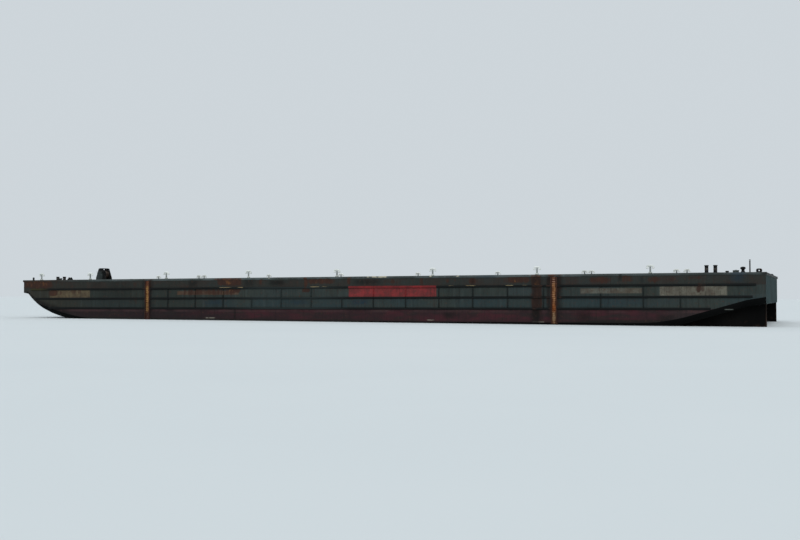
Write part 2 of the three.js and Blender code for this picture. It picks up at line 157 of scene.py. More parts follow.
# %% Turned and swept shapes
def lathe(profile, segments=32, axis="z"):
    """A turned shape: (radius, height) points carried round the axis."""
    profile = np.array(profile, float)
    angle = np.linspace(0, 2 * math.pi, segments, endpoint=False)
    radius, height = profile[:, :1], np.repeat(profile[:, 1:], segments, 1)
    across, along = radius * np.cos(angle), radius * np.sin(angle)
    order = {"z": (across, along, height), "y": (across, height, along), "x": (height, across, along)}
    return grid(np.stack(order[axis], -1), close_v=True)


def ring(radius, sides=16):
    """A circle of (side, up) points, for sweep."""
    angle = np.linspace(0, 2 * math.pi, sides, endpoint=False)
    return np.stack((np.cos(angle), np.sin(angle)), -1) * radius


def sweep(path, profile, up=(0, 0, 1), closed=False):
    """A profile of (side, up) points carried along a path. Side is square to the path and to up."""
    path, profile = np.array(path, float), np.array(profile, float)
    if closed:
        tangent = np.roll(path, -1, 0) - np.roll(path, 1, 0)
    else:
        tangent = np.gradient(path, axis=0)
    tangent /= np.linalg.norm(tangent, axis=1, keepdims=True)
    side = np.cross(np.array(up, float), tangent)
    side /= np.linalg.norm(side, axis=1, keepdims=True)
    rise = np.cross(tangent, side)
    points = (path[:, None] + profile[None, :, :1] * side[:, None] + profile[None, :, 1:] * rise[:, None])
    return grid(points, close_u=closed, close_v=True, caps=not closed)


print("a lathe turns 5 profile points into", len(lathe(np.ones((5, 2)))[0]))

# %% [markdown]
# ### Blocks and plates
# No real steel edge is perfectly sharp, and a small round edge is what catches the light. `block` and
# `plate` stack outlines that draw in a little at the top and the bottom.

# %% Blocks and plates
def rounded(width, height, radius, steps=3):
    """A rectangle of (side, up) points with its four corners as arcs."""
    angle = np.linspace(0, math.pi / 2, steps + 1)
    corners = []
    for turn, (sx, sy) in enumerate(((1, 1), (-1, 1), (-1, -1), (1, -1))):
        a = angle + turn * math.pi / 2
        centre = ((width / 2 - radius) * sx, (height / 2 - radius) * sy)
        corners.append(np.stack((np.cos(a) * radius + centre[0], np.sin(a) * radius + centre[1]), -1))
    return np.concatenate(corners)


def block(x0, x1, y0, y1, z0, z1, radius, steps=2):
    """A box whose edges are all rounded: rings of a rounded rectangle that draw in at top and bottom."""
    radius = min(radius, (x1 - x0) / 2.01, (y1 - y0) / 2.01, (z1 - z0) / 2.01)
    a = np.linspace(0, math.pi / 2, steps + 1)
    inset = np.concatenate((radius * (1 - np.sin(a)), radius * (1 - np.cos(a))))
    height = np.concatenate((z0 + radius * (1 - np.cos(a)), z1 - radius * (1 - np.sin(a))))
    outline = rounded(x1 - x0, y1 - y0, radius, steps)
    centre = np.array(((x0 + x1) / 2, (y0 + y1) / 2))
    half = np.array(((x1 - x0) / 2, (y1 - y0) / 2))
    scale = (half[None, None] - inset[:, None, None]) / half
    flat = outline[None] * scale + centre
    points = np.concatenate((flat, np.repeat(height[:, None, None], len(outline), 1)), -1)
    return grid(points, close_v=True, caps=True)


def plate(outline, low, high, radius=0.0):
    """A flat plate: an outline of (x, z) points, from low to high along Y."""
    outline = np.array(outline, float)
    centre = outline.mean(0)
    reach = np.linalg.norm(outline - centre, axis=1, keepdims=True)
    levels = [(low, 0), (high, 0)]
    if radius:
        levels = [(low, radius), (low + radius, 0), (high - radius, 0), (high, radius)]
    rings = []
    for level, inset in levels:
        flat = centre + (outline - centre) * (1 - inset / np.maximum(reach, 1e-6))
        rings.append(np.column_stack((flat[:, 0], np.full(len(flat), level), flat[:, 1])))
    return grid(np.stack(rings), close_v=True, caps=True)


print("a rounded block has", len(block(0, 1, 0, 1, 0, 1, 0.1)[0]), "points")

# %% [markdown]
# ## From shapes to objects
# `mesh_of` puts the arrays into a mesh with foreach_set, which is much faster than adding faces one
# by one. Points that coincide are merged, faces are turned outwards, and edges sharper than 35 degrees
# stay crisp. `make` then ties the object to its body and to the nodes that it stands for, which it hides.

# %% Objects
piece_count = []
sharp_edge = math.radians(35)


def mesh_of(name, parts, attributes):
    """A mesh from (shape, material) pairs. Attributes are for the first shape, and zero on the rest."""
    mesh = bpy.data.meshes.new(name)
    points, faces = merge(*[shape for shape, _ in parts])
    sizes = np.concatenate([np.full(len(face), face.shape[1]) for face in faces])
    corners = np.concatenate([face.ravel() for face in faces])
    mesh.vertices.add(len(points))
    mesh.vertices.foreach_set("co", points.astype(np.float32).ravel())
    mesh.loops.add(len(corners))
    mesh.loops.foreach_set("vertex_index", corners.astype(np.int32))
    mesh.polygons.add(len(sizes))
    mesh.polygons.foreach_set("loop_start", np.concatenate(([0], np.cumsum(sizes)[:-1])).astype(np.int32))
    finishes, indices = [], []
    for shape, finish in parts:
        if finish not in finishes:
            finishes.append(finish)
            mesh.materials.append(finish)
        indices += [finishes.index(finish)] * sum(len(face) for face in shape[1])
    mesh.polygons.foreach_set("material_index", np.array(indices, np.int32))
    mesh.update(calc_edges=True)
    for key, values in attributes.items():
        layer = mesh.attributes.new(key, "FLOAT", "POINT")
        values = np.pad(values, (0, len(points) - len(values)))
        layer.data.foreach_set("value", values.astype(np.float32))
    return mesh


def clean(mesh):
    """Merges coinciding points, turns the faces outwards, and smooths all but the sharp edges."""
    whole = bmesh.new()
    whole.from_mesh(mesh)
    bmesh.ops.remove_doubles(whole, verts=whole.verts, dist=1e-6)
    bmesh.ops.recalc_face_normals(whole, faces=whole.faces)
    whole.to_mesh(mesh)
    whole.free()
    mesh.polygons.foreach_set("use_smooth", np.ones(len(mesh.polygons), bool))
    mesh.set_sharp_from_angle(angle=sharp_edge)


def make(name, parts, replaces, body="barge", attributes=None):
    """One piece of the barge, which rides its body and takes the place of the named nodes."""
    mesh = mesh_of(name, parts, attributes or {})
    clean(mesh)
    obj = bpy.data.objects.new(name, mesh)
    bpy.context.scene.collection.objects.link(obj)
    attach(obj, body)
    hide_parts(*replaces)
    triangles = sum(len(p.vertices) - 2 for p in mesh.polygons)
    piece_count.append(triangles)
    print(f"{name}: {triangles} triangles")


# %% [markdown]
# ## Finishes
# A finish is a tree of nodes that reads the Object coordinates. Linking nodes one at a time is slow to
# write and to read, so each method here adds a node and returns its output, and a finish can be
# written much like a sum. Colours are given as the 0 to 255 values that a screen shows.

# %% A small language for shader nodes
def colour(red, green, blue):
    """A linear colour from the 0 to 255 values that a screen shows."""
    return tuple(((v / 255 + 0.055) / 1.055) ** 2.4 if v > 10 else v / 255 / 12.92
                 for v in (red, green, blue)) + (1.0,)


class Nodes:
    """A material whose nodes are added by its methods. x, y and z are the Object coordinates."""

    def __init__(self, name, roughness=0.7, metallic=0.0, specular=0.14):
        """Starts the tree, with the shader's plain values."""
        self.material = bpy.data.materials.new(name)
        self.material.use_nodes = True
        self.tree = self.material.node_tree
        self.shader = self.tree.nodes["Principled BSDF"]
        self.shader.inputs["Roughness"].default_value = roughness
        self.shader.inputs["Metallic"].default_value = metallic
        self.shader.inputs["Specular IOR Level"].default_value = specular
        self.place = self.node("ShaderNodeTexCoord").outputs["Object"]
        split = self.node("ShaderNodeSeparateXYZ")
        self.link(self.place, split.inputs[0])
        self.x, self.y, self.z = split.outputs

    def node(self, kind, **settings):
        """A new node of that kind, with its settings."""
        made = self.tree.nodes.new(kind)
        for key, value in settings.items():
            setattr(made, key, value)
        return made

    def link(self, source, socket):
        """Sets a number or a colour on the socket itself, and links anything else to it."""
        if isinstance(source, tuple):
            socket.default_value = colour(*source) if len(source) == 3 else source
        elif isinstance(source, (int, float)):
            socket.default_value = source
        else:
            self.tree.links.new(source, socket)

    def math(self, operation, a, b=0.0):
        """The result of one operation on a and b."""
        made = self.node("ShaderNodeMath", operation=operation)
        self.link(a, made.inputs[0])
        self.link(b, made.inputs[1])
        return made.outputs[0]

    def add(self, a, b):
        """a plus b."""
        return self.math("ADD", a, b)

    def less(self, a, b):
        """a minus b."""
        return self.math("SUBTRACT", a, b)

    def size(self, a):
        """a without its sign."""
        return self.math("ABSOLUTE", a)

    def both(self, *values):
        """The product of the values, which is 1 only where all are."""
        result = values[0]
        for value in values[1:]:
            result = self.math("MULTIPLY", result, value)
        return result

    def either(self, *values):
        """The highest of the values."""
        result = values[0]
        for value in values[1:]:
            result = self.math("MAXIMUM", result, value)
        return result


print("mid grey on a screen is", round(colour(128, 128, 128)[0], 3), "in linear light")

# %% [markdown]
# Weathering needs three more things: a soft limit, noise, and a way to lay one colour over another.
# Wear shows where a noise passes a limit, and `coat` lays it on as thinly as its shares say.

# %% Limits, noise and coats of colour
bump_strength = 0.6


class Finish(Nodes):
    """The nodes that paint and wear need."""

    def step(self, value, low, high):
        """0 below low, 1 above high and smooth between; the other way round if low is the higher."""
        made = self.node("ShaderNodeMapRange", interpolation_type="SMOOTHSTEP")
        for socket, source in zip(made.inputs, (value, low, high, 0.0, 1.0)):
            self.link(source, socket)
        return made.outputs[0]

    def between(self, value, low, high, soft):
        """1 where value is between low and high, with soft edges."""
        over = self.step(value, low - soft, low + soft)
        return self.both(over, self.step(value, high + soft, high - soft))

    def noise(self, scale, stretch=(1, 1, 1), detail=4.0, roughness=0.55, shift=0.0):
        """Cloudy noise from 0 to 1. A small stretch on an axis draws it out along that axis."""
        mapping = self.node("ShaderNodeMapping")
        self.link(self.place, mapping.inputs["Vector"])
        mapping.inputs["Scale"].default_value = stretch
        mapping.inputs["Location"].default_value = (shift, shift * 0.7, shift * 1.3)
        made = self.node("ShaderNodeTexNoise")
        self.link(mapping.outputs[0], made.inputs["Vector"])
        made.inputs["Scale"].default_value = scale
        made.inputs["Detail"].default_value = detail
        made.inputs["Roughness"].default_value = roughness
        return made.outputs[0]

    def attribute(self, name):
        """A value that the mesh keeps at each of its points."""
        return self.node("ShaderNodeAttribute", attribute_name=name).outputs["Fac"]

    def mix(self, share, a, b):
        """a where share is 0, b where it is 1."""
        made = self.node("ShaderNodeMix", data_type="RGBA")
        self.link(share, made.inputs[0])
        self.link(a, made.inputs[6])
        self.link(b, made.inputs[7])
        return made.outputs[2]

    def coat(self, base, tone, *shares):
        """The base with a coat of tone over it, as thick as the product of the shares."""
        return self.mix(self.both(*shares), base, tone)

    def done(self, base, roughness=None, height=None, depth=0.001):
        """Joins the colour, the roughness and a bump of that depth to the shader."""
        self.link(base, self.shader.inputs["Base Color"])
        if roughness is not None:
            self.link(roughness, self.shader.inputs["Roughness"])
        if height is not None:
            bump = self.node("ShaderNodeBump")
            bump.inputs["Strength"].default_value = bump_strength
            bump.inputs["Distance"].default_value = depth
            self.link(height, bump.inputs["Height"])
            self.link(bump.outputs[0], self.shader.inputs["Normal"])
        return self.material


print("finishes so far:", len(bpy.data.materials))

# %% [markdown]
# ### Old paint and rust
# Two finishes are needed on many pieces, so they come first: rust itself, and the plain bands of old
# paint that cross the plating, its uprights and its rubbing bars alike.

# %% Bands and rust
rust_tones = ((50, 34, 29), (84, 51, 35), (142, 84, 38))

# low x, high x, low z, high z in real metres, bright tone, dull tone, share left
bands = [
    (-15.3, -1.2, 4.6, 6.22, (134, 43, 45), (104, 38, 40), 0.8),
    (46.9, 55.3, 4.62, 5.84, (108, 94, 70), (82, 66, 48), 0.62),
    (-56.1, -47.4, 4.62, 5.84, (118, 114, 101), (92, 84, 73), 0.64),
    (-45.0, -36.6, 4.95, 5.65, (104, 102, 92), (84, 72, 60), 0.6),
    (18.0, 29.5, 5.0, 5.6, (94, 70, 52), (76, 50, 38), 0.6),
]


def rust_colour(f, scale=30.0, tones=rust_tones):
    """Dark brown to orange, in blotches with a finer speckle."""
    blotch = f.step(f.noise(scale, detail=6), 0.38, 0.62)
    speckle = f.step(f.noise(scale * 5, detail=4, shift=3.0), 0.56, 0.76)
    return f.mix(speckle, f.mix(blotch, tones[0], tones[1]), tones[2])


def in_box(f, low_x, high_x, low_z, high_z, soft_x, soft_z=0.006):
    """1 between those places in real metres along and up, with soft edges."""
    along = f.between(f.x, low_x * m, high_x * m, soft_x)
    return f.both(along, f.between(f.z, low_z * m, high_z * m, soft_z))


def painted_bands(f, base):
    """Plain bands over the base, thinned by scuffs and pitted by small specks of rust."""
    tone = f.step(f.noise(9, detail=8, roughness=0.66, shift=13.0), 0.36, 0.64)
    specks = f.step(f.noise(42, detail=8, roughness=0.7, shift=12.0), 0.56, 0.66)
    thin = f.add(0.62, f.both(f.noise(20, detail=6, shift=14.0), 0.6))
    for low_x, high_x, low_z, high_z, bright, dull, share in bands:
        inside = in_box(f, low_x, high_x, low_z, high_z, 0.012)
        base = f.coat(base, f.mix(tone, bright, dull), inside, thin, share)
        base = f.coat(base, (62, 44, 36), inside, specks, 0.7)
    return base


print("painted bands:", len(bands))

# %% [markdown]
# ### Painted side plating
# The sides are grey-green paint that has gone patchy: olive towards the bow, bluer in the lower row,
# and brown along the top where rust weeps from the deck edge. A flat colour would look like plastic.
# So each panel between two uprights takes its own tint from a white noise that is fed with the
# panel's number, and threads of noise drawn out downwards run over all of them.

# %% Panels of the side
bar_heights = (6.02 * m, 4.43 * m, 2.83 * m)
upright_pitch = 5.22 * m
upright_first = 31.3 * m - 12 * upright_pitch
paint_edge = 0.004


def panel_colours(f, grain, threads):
    """A tint for each panel, with clouds, a darker and browner bow, fine grain and threads."""
    along = f.math("FLOOR", f.math("DIVIDE", f.less(f.x, upright_first), upright_pitch))
    up = f.math("FLOOR", f.math("DIVIDE", f.z, bar_heights[0] - bar_heights[1]))
    number = f.node("ShaderNodeCombineXYZ")
    for socket, source in zip(number.inputs, (along, up, f.step(f.y, -0.1, 0.1))):
        f.link(source, socket)
    tint = f.node("ShaderNodeTexWhiteNoise", noise_dimensions="3D")
    f.link(number.outputs[0], tint.inputs["Vector"])
    base = f.mix(tint.outputs["Value"], (42, 49, 46), (48, 57, 57))
    lower_rows = f.step(f.z, bar_heights[1] + paint_edge, bar_heights[1] - paint_edge)
    base = f.coat(base, (38, 53, 56), lower_rows, 0.6)
    base = f.coat(base, (51, 55, 49), f.step(f.noise(1.3, (1, 1, 2), detail=6), 0.4, 0.66), 0.6)
    base = f.coat(base, (36, 40, 36), f.step(f.x, 1.4, 3.2), 0.62)
    base = f.coat(base, (46, 43, 35), f.step(f.x, 4.4, 5.6), 0.62)
    base = f.coat(base, (30, 35, 34), f.step(grain, 0.4, 0.75), 0.3)
    base = f.coat(base, (29, 32, 30), f.step(threads, 0.5, 0.72), 0.36)
    return f.coat(base, (70, 78, 76), f.step(threads, 0.46, 0.3), 0.2)


def top_row(f, base):
    """The row over the upper bar goes dark and brown, and a thin wash of rust runs down the side."""
    top = f.step(f.z, bar_heights[0] - paint_edge, bar_heights[0] + paint_edge)
    base = f.coat(base, (37, 38, 35), top, 0.6)
    brown = f.step(f.noise(3.0, (1, 1, 1.2), detail=7, shift=5.0), 0.42, 0.66)
    base = f.coat(base, (46, 38, 34), top, brown, 0.75)
    wash = f.step(f.noise(9, (1, 1, 0.1), detail=6, shift=8.0), 0.56, 0.76)
    return f.coat(base, (58, 44, 36), wash, 0.34)


print("panels are", round(upright_pitch, 3), "m long")

# %% [markdown]
# ### Boot-topping and waterline
# Below the lowest bar the paint is dark red, faded to brown forward and to grey aft. Just over the
# waterline it stays wet, and is nearly black. The hull trims a little by the bow, so the waterline is
# a plane with a small slope.

# %% Boot-topping and waterline
waterline_middle, waterline_slope = 0.78 * m, 0.0058


def boot_topping(f, threads):
    """Red in clouds, coated with brown forward and grey aft, and pale along its upper edge."""
    cloud = f.step(f.noise(2.6, (1, 1, 2.4), detail=7, shift=2.0), 0.4, 0.66)
    red = f.mix(cloud, (44, 29, 32), (61, 30, 36))
    red = f.coat(red, (31, 25, 27), f.step(f.x, 1.2, 3.2), 0.82)
    scuffs = f.step(f.noise(7, (0.5, 1, 2.5), detail=6, shift=4.0), 0.47, 0.66)
    red = f.coat(red, (35, 33, 32), scuffs, 0.6)
    red = f.coat(red, (39, 36, 36), f.step(f.x, -4.55, -5.0), 0.8)
    edge_wear = f.step(f.noise(6, (0.6, 1, 1), detail=6, shift=14.0), 0.38, 0.6)
    red = f.coat(red, (70, 50, 51), f.between(f.z, 0.228, 0.268, 0.012), edge_wear, 0.5)
    return f.coat(red, (26, 22, 23), f.step(threads, 0.52, 0.7), 0.4)


def wet_edge(f, base):
    """A dark band over the waterline. Noise moves its upper edge, and it reaches higher aft."""
    line = f.add(waterline_middle, f.both(f.x, waterline_slope))
    reach = f.add(f.both(f.noise(8, (1, 1, 0.4), detail=6), 0.05), f.step(f.x, -3.2, -4.2))
    height = f.less(f.less(f.z, line), f.both(reach, 0.05))
    return f.coat(base, (24, 26, 24), f.step(height, 0.05, 0.008), 0.85)


print("waterline rises", waterline_slope, "m in each metre towards the bow")

# %% [markdown]
# ### Rust, soot and scratches
# Attributes on the mesh say where rust, soot and blue touch-up paint lie, and the soot attribute also
# carries painted shade along the bow rake. Used alone they would show as smooth blobs. So noise is added
# to the rust before the step that decides where it shows, which breaks its edge into runs and flecks,
# and the other two are multiplied by noise.

# %% Rust, soot and scratches
# Light scratches low on the side: low x, high x, z in real metres
low_scratches = [(-14.9, -13.9, 1.15), (-49.5, -46.8, 1.0), (-31.4, -29.8, 0.95), (22.4, 24.2, 1.3)]


def scratched(f, base):
    """Pale lines 14 mm wide on the model, broken by noise."""
    lines = [in_box(f, low_x, high_x, z - 0.07, z + 0.07, 0.02) for low_x, high_x, z in low_scratches]
    worn = f.step(f.noise(30, (0.5, 1, 1), detail=6, shift=15.0), 0.34, 0.52)
    return f.coat(base, (128, 124, 112), f.either(*lines), worn, 0.75)


def rusted(f, base, threads, patch):
    """Rust where its attribute plus noise passes a limit, orange where it passes a higher one."""
    run = f.attribute("rust")
    ragged = f.add(f.both(run, 1.3), f.add(f.less(patch, 0.5), f.less(threads, 0.5)))
    rust = f.both(f.step(ragged, 0.42, 0.84), f.step(run, 0.02, 0.3))
    brown = f.mix(patch, (36, 28, 26), (68, 44, 35))
    base = f.coat(base, brown, f.either(rust, f.step(patch, 0.66, 0.76)), 0.9)
    flare = f.noise(12, (1, 1, 0.6), detail=7, roughness=0.6, shift=11.0)
    bright = f.mix(f.step(flare, 0.46, 0.7), (76, 50, 34), (118, 78, 44))
    orange = f.step(f.add(run, f.both(f.less(flare, 0.5), 1.9)), 0.86, 1.3)
    return f.coat(base, bright, orange, 0.85), rust


print("scratches:", len(low_scratches))

# %% [markdown]
# The layers go on in the order in which they came about on the real side: paint, boot-topping,
# touch-ups, bands, scratches, rust and soot. The painted shade along the bow rake goes on with the soot.
# The finest wear comes last, since it lies over all of it.

# %% All the layers of the side
def fine_wear(f, base, patch):
    """Flecks of bare rust, thin dark drips, and a dark weld seam at every half panel."""
    flecks = f.step(f.noise(60, (1, 1, 0.5), detail=8, roughness=0.7, shift=17.0), 0.585, 0.625)
    base = f.coat(base, f.mix(patch, (40, 30, 27), (84, 54, 40)), flecks, 0.6)
    drips = f.step(f.noise(95, (1, 1, 0.03), detail=4, shift=18.0), 0.55, 0.66)
    base = f.coat(base, (30, 25, 23), drips, f.step(patch, 0.4, 0.56), 0.5)
    part = f.math("FRACT", f.math("DIVIDE", f.x, upright_pitch / 2))
    seam = f.step(f.size(f.less(part, 0.5)), 0.012, 0.004)
    return f.coat(base, (24, 26, 25), seam, 0.3), flecks, seam


def side_finish():
    """All the layers of the side, from the paint up to the latest wear."""
    f = Finish("side_paint", roughness=0.74, specular=0.1)
    grain = f.noise(45, (1, 1, 0.5), detail=5)
    threads = f.noise(19, (1, 1, 0.07), detail=5, shift=1.0)
    patch = f.noise(13, (1, 1, 0.4), detail=8, roughness=0.62, shift=9.0)
    base = top_row(f, panel_colours(f, grain, threads))
    wavy = f.add(f.z, f.both(f.noise(40, detail=3), 0.006))
    boot = f.step(wavy, bar_heights[2] + paint_edge, bar_heights[2])
    base = wet_edge(f, f.mix(boot, base, boot_topping(f, threads)))
    blue = f.step(f.noise(11, detail=6, shift=7.0), 0.3, 0.56)
    base = f.coat(base, (27, 42, 53), f.attribute("blue"), blue, 0.8)
    base = scratched(f, painted_bands(f, base))
    base, rust = rusted(f, base, threads, patch)
    # This attribute holds the soot marks and the painted shade along the bow rake; both go on near-black.
    soot_and_shade = f.step(f.noise(15, (1, 1, 0.3), detail=6, shift=6.0), 0.16, 0.56)
    base = f.coat(base, (18, 17, 16), f.attribute("soot_and_shade"), soot_and_shade, 0.94)
    base, flecks, seam = fine_wear(f, base, patch)
    height = f.add(f.add(f.both(grain, 0.4), f.both(rust, 0.5)), f.both(seam, 0.8))
    height = f.add(height, f.both(f.less(flecks, f.noise(210, detail=2)), 0.3))
    return f.done(base, f.add(0.66, f.both(rust, 0.22)), height, depth=0.0012)


side_paint = side_finish()
print("side paint:", len(side_paint.node_tree.nodes), "nodes")

# %% [markdown]
# ### Other paints and steels
# Most of the other finishes differ only in their colours and in how much rust comes through, so one
# function makes them: two tones in clouds, dirt in streaks, and rust where a noise passes a limit.

# %% Shared finish
def weathered(name, light, dark, rust_limit, streaks=0.4, scale=20.0, roughness=0.65, metallic=0.0,
              specular=0.14, rust_from=None, tones=rust_tones, scrape=None):
    """Two tones of paint, streaks of dirt, and rust wherever its noise is over rust_limit.

    rust_from (low z, high z, amount) brings more rust lower down. scrape is one pale mark, as a box."""
    f = Finish(name, roughness=roughness, metallic=metallic, specular=specular)
    base = f.mix(f.step(f.noise(scale * 0.3, detail=6), 0.35, 0.65), light, dark)
    dirt = tuple(v * 0.45 for v in colour(*dark)[:3]) + (1.0,)
    streak = f.step(f.noise(scale * 2, (1, 1, 0.1), detail=5, shift=1.5), 0.5, 0.75)
    base = f.coat(base, dirt, streak, streaks)
    patch = f.noise(scale, detail=8, roughness=0.65, shift=4.5)
    if rust_from:
        low, high, amount = rust_from
        patch = f.add(patch, f.both(f.step(f.z, high, low), amount))
    rust = f.step(patch, rust_limit, rust_limit + 0.12)
    base = f.mix(rust, base, rust_colour(f, scale * 1.6, tones))
    if scrape:
        base = f.coat(base, (122, 126, 120), in_box(f, *scrape, 0.015), 0.7)
    height = f.add(f.both(f.noise(scale * 6, detail=4), 0.4), f.both(rust, 0.6))
    return f.done(base, f.add(roughness, f.both(rust, 0.2)), height, depth=0.0008)


fitting_black = weathered("fitting_black", (27, 29, 30), (16, 18, 19), 0.6, scale=34)
pipe_white = weathered("pipe_white", (222, 225, 221), (198, 202, 197), 0.72, streaks=0.1, scale=40,
                       rust_from=(deck_level, deck_level + 0.03, 0.1))
foot_white = weathered("foot_white", (190, 194, 188), (158, 162, 156), 0.66, streaks=0.25, scale=36)
stem_grey = weathered("stem_grey", (150, 155, 152), (122, 127, 125), 0.68, streaks=0.3, scale=36)
hatch_paint = weathered("hatch_paint", (72, 80, 78), (52, 60, 59), 0.6, scale=30)
gear_grey = weathered("gear_grey", (56, 64, 64), (40, 46, 46), 0.6, scale=30)
ladder_post = weathered("ladder_post", (62, 36, 27), (38, 25, 21), 0.54, streaks=0.3, scale=22)
print("paints of the fittings:", fitting_black.name, pipe_white.name, hatch_paint.name)

# %% Paints of the hull's ends and bottom
transom_paint = weathered("transom_paint", (42, 61, 61), (34, 50, 51), 0.68, scale=5, specular=0.02)
bow_paint = weathered("bow_paint", (46, 45, 39), (36, 34, 30), 0.6, scale=7, specular=0.04,
                      tones=((40, 29, 25), (66, 43, 33), (108, 68, 40)))
# The bottom and the skegs are near-black: their dark paint with the shade under the hull painted in.
bottom_paint_and_shade = weathered("bottom_paint_and_shade", (9, 10, 10), (5, 6, 6), 0.74, streaks=0.2, scale=8,
                         specular=0.04, scrape=(-56.8, -55.8, 2.7, 2.8))
skeg_paint = weathered("skeg_paint", (15, 14, 13), (8, 8, 8), 0.7, streaks=0.3, scale=7,
                       specular=0.04, rust_from=(0.09, 0.2, 0.18),
                       tones=((26, 21, 18), (40, 30, 25), (58, 42, 32)))
skeg_edge = weathered("skeg_edge", (52, 40, 34), (30, 25, 22), 0.6, streaks=0.3, scale=16,
                      specular=0.04, tones=((40, 30, 25), (66, 46, 35), (92, 62, 42)))
print("paints of the ends:", transom_paint.name, bow_paint.name, bottom_paint_and_shade.name)

# %% Bare steels
worn_steel = weathered("worn_steel", (96, 92, 88), (64, 58, 54), 0.58, scale=30,
                       roughness=0.5, metallic=0.6)
rope_worn = weathered("rope_worn", (74, 70, 66), (48, 45, 43), 0.56, scale=40,
                         roughness=0.5, metallic=0.5)
wire_steel = weathered("wire_steel", (84, 76, 70), (56, 48, 42), 0.55, streaks=0.2, scale=60,
                       roughness=0.5, metallic=0.6)
print("steels:", worn_steel.name, rope_worn.name, wire_steel.name)

# %% [markdown]
# ### Gunwale and rubbing bars
# The gunwale goes dark at its ends. The rubbing bars are near-black, scraped to pale steel on top
# where the mesh says so, and carry the painted bands across.

# %% Gunwale finish
def gunwale_finish():
    """Grey in clouds, dulled towards the ends, with soot, touch-up, rust and bare steel over it."""
    f = Finish("gunwale_paint", roughness=0.68)
    cloud = f.step(f.noise(2.2, detail=7, roughness=0.6), 0.36, 0.62)
    base = f.mix(cloud, (53, 59, 57), (77, 84, 84))
    base = f.coat(base, (46, 46, 42), f.step(f.noise(11, detail=6, shift=3.0), 0.5, 0.7), 0.45)
    base = f.coat(base, (44, 48, 46), f.step(f.size(f.x), 3.0, 5.6), 0.55)
    base = f.coat(base, (40, 33, 27), f.step(f.x, 4.7, 5.5), 0.85)
    base = f.coat(base, (20, 22, 20), f.attribute("soot_and_shade"), 0.9)
    base = f.coat(base, (42, 55, 66), f.attribute("blue"), 0.8)
    patch = f.noise(16, detail=8, roughness=0.66, shift=4.5)
    rust = f.step(f.add(patch, f.both(f.attribute("rust"), 0.46)), 0.62, 0.84)
    base = f.coat(base, rust_colour(f, 26), rust, 0.85)
    scraped = f.add(f.noise(22, (0.6, 1, 1), detail=7, shift=6.0), f.both(f.attribute("bare"), 0.36))
    base = f.coat(base, (158, 152, 132), f.step(scraped, 0.7, 0.8))
    return f.done(base, f.add(0.62, f.both(rust, 0.2)), patch, depth=0.001)


gunwale_paint = gunwale_finish()
print("gunwale paint:", len(gunwale_paint.node_tree.nodes), "nodes")

# %% Rubbing bar finish
def bar_finish(name, dark, light):
    """Two dark tones, a lighter stretch amidships, a green bow tip, rust, bands and bare steel."""
    f = Finish(name, roughness=0.7, specular=0.08)
    base = f.mix(f.noise(7, (0.5, 1, 1), detail=7), dark, light)
    base = f.coat(base, (46, 55, 55), f.between(f.x, 0.1, 1.7, 0.4), 0.4)
    rusty = f.add(f.noise(14, detail=8, roughness=0.65, shift=4.0), f.both(f.attribute("rust"), 0.3))
    base = f.coat(base, f.mix(f.noise(40), (36, 27, 24), (66, 43, 33)), f.step(rusty, 0.6, 0.8), 0.7)
    base = f.coat(base, (60, 56, 34), f.step(f.x, 5.5, 5.75), f.step(f.z, 0.54, 0.58), 0.6)
    base = painted_bands(f, base)
    scraped = f.add(f.noise(30, (0.35, 1, 1), detail=7, shift=6.0), f.both(f.attribute("bare"), 0.42))
    bare = f.step(scraped, 0.72, 0.84)
    base = f.mix(bare, base, f.mix(f.noise(19), (120, 96, 52), (150, 142, 116)))
    return f.done(base, f.less(0.72, f.both(bare, 0.2)), f.noise(60), depth=0.0008)


fender_paint = bar_finish("fender_paint", (11, 13, 13), (25, 28, 28))
upright_paint = bar_finish("upright_paint", (23, 27, 26), (33, 38, 37))
print("bar finishes:", fender_paint.name, upright_paint.name)

# %% [markdown]
# ### Ladders and lantern
# A ladder changes colour from its head to its foot, and the pair forward has weathered otherwise than
# the pair aft. Four tones for each, blended by height, do both.

# %% Ladder finish
ladder_places = (35.25 * m, -32.85 * m)


def ladder_finish(name, forward_tones, aft_tones):
    """Four colours from foot to head for each end of the barge, blended over the height of a ladder."""
    f = Finish(name, roughness=0.8)
    tones = []
    for foot, low, middle, head in (forward_tones, aft_tones):
        tone = f.mix(f.step(f.z, 0.2, 0.27), foot, low)
        tone = f.mix(f.step(f.z, 0.3, 0.4), tone, middle)
        tones.append(f.mix(f.step(f.z, 0.6, 0.68), tone, head))
    base = f.mix(f.step(f.x, -0.1, 0.1), tones[1], tones[0])
    blotch = f.noise(24, (1, 1, 0.6), detail=8, roughness=0.66)
    base = f.coat(base, (84, 42, 24), f.step(blotch, 0.46, 0.64), 0.75)
    base = f.coat(base, (176, 146, 102), f.step(blotch, 0.42, 0.3), 0.3)
    middle = sum(ladder_places) / 2
    off_centre = f.less(f.size(f.less(f.x, middle)), ladder_places[0] - middle)
    off_centre = f.add(f.size(off_centre), f.both(f.less(blotch, 0.5), 0.03))
    base = f.coat(base, (54, 30, 22), f.step(off_centre, 0.014, 0.027), 0.85)
    return f.done(base, 0.8, blotch, depth=0.001)


ladder_rust = ladder_finish(
    "ladder_rust", ((56, 38, 34), (132, 98, 58), (136, 98, 56), (84, 50, 34)),
    ((124, 98, 72), (118, 66, 33), (134, 92, 58), (84, 54, 40)))
rung_steel = ladder_finish(
    "rung_steel", ((78, 54, 46), (164, 128, 80), (168, 128, 80), (110, 70, 48)),
    ((156, 128, 100), (146, 86, 44), (176, 132, 98), (172, 140, 120)))
print("ladder finishes:", ladder_rust.name, rung_steel.name)

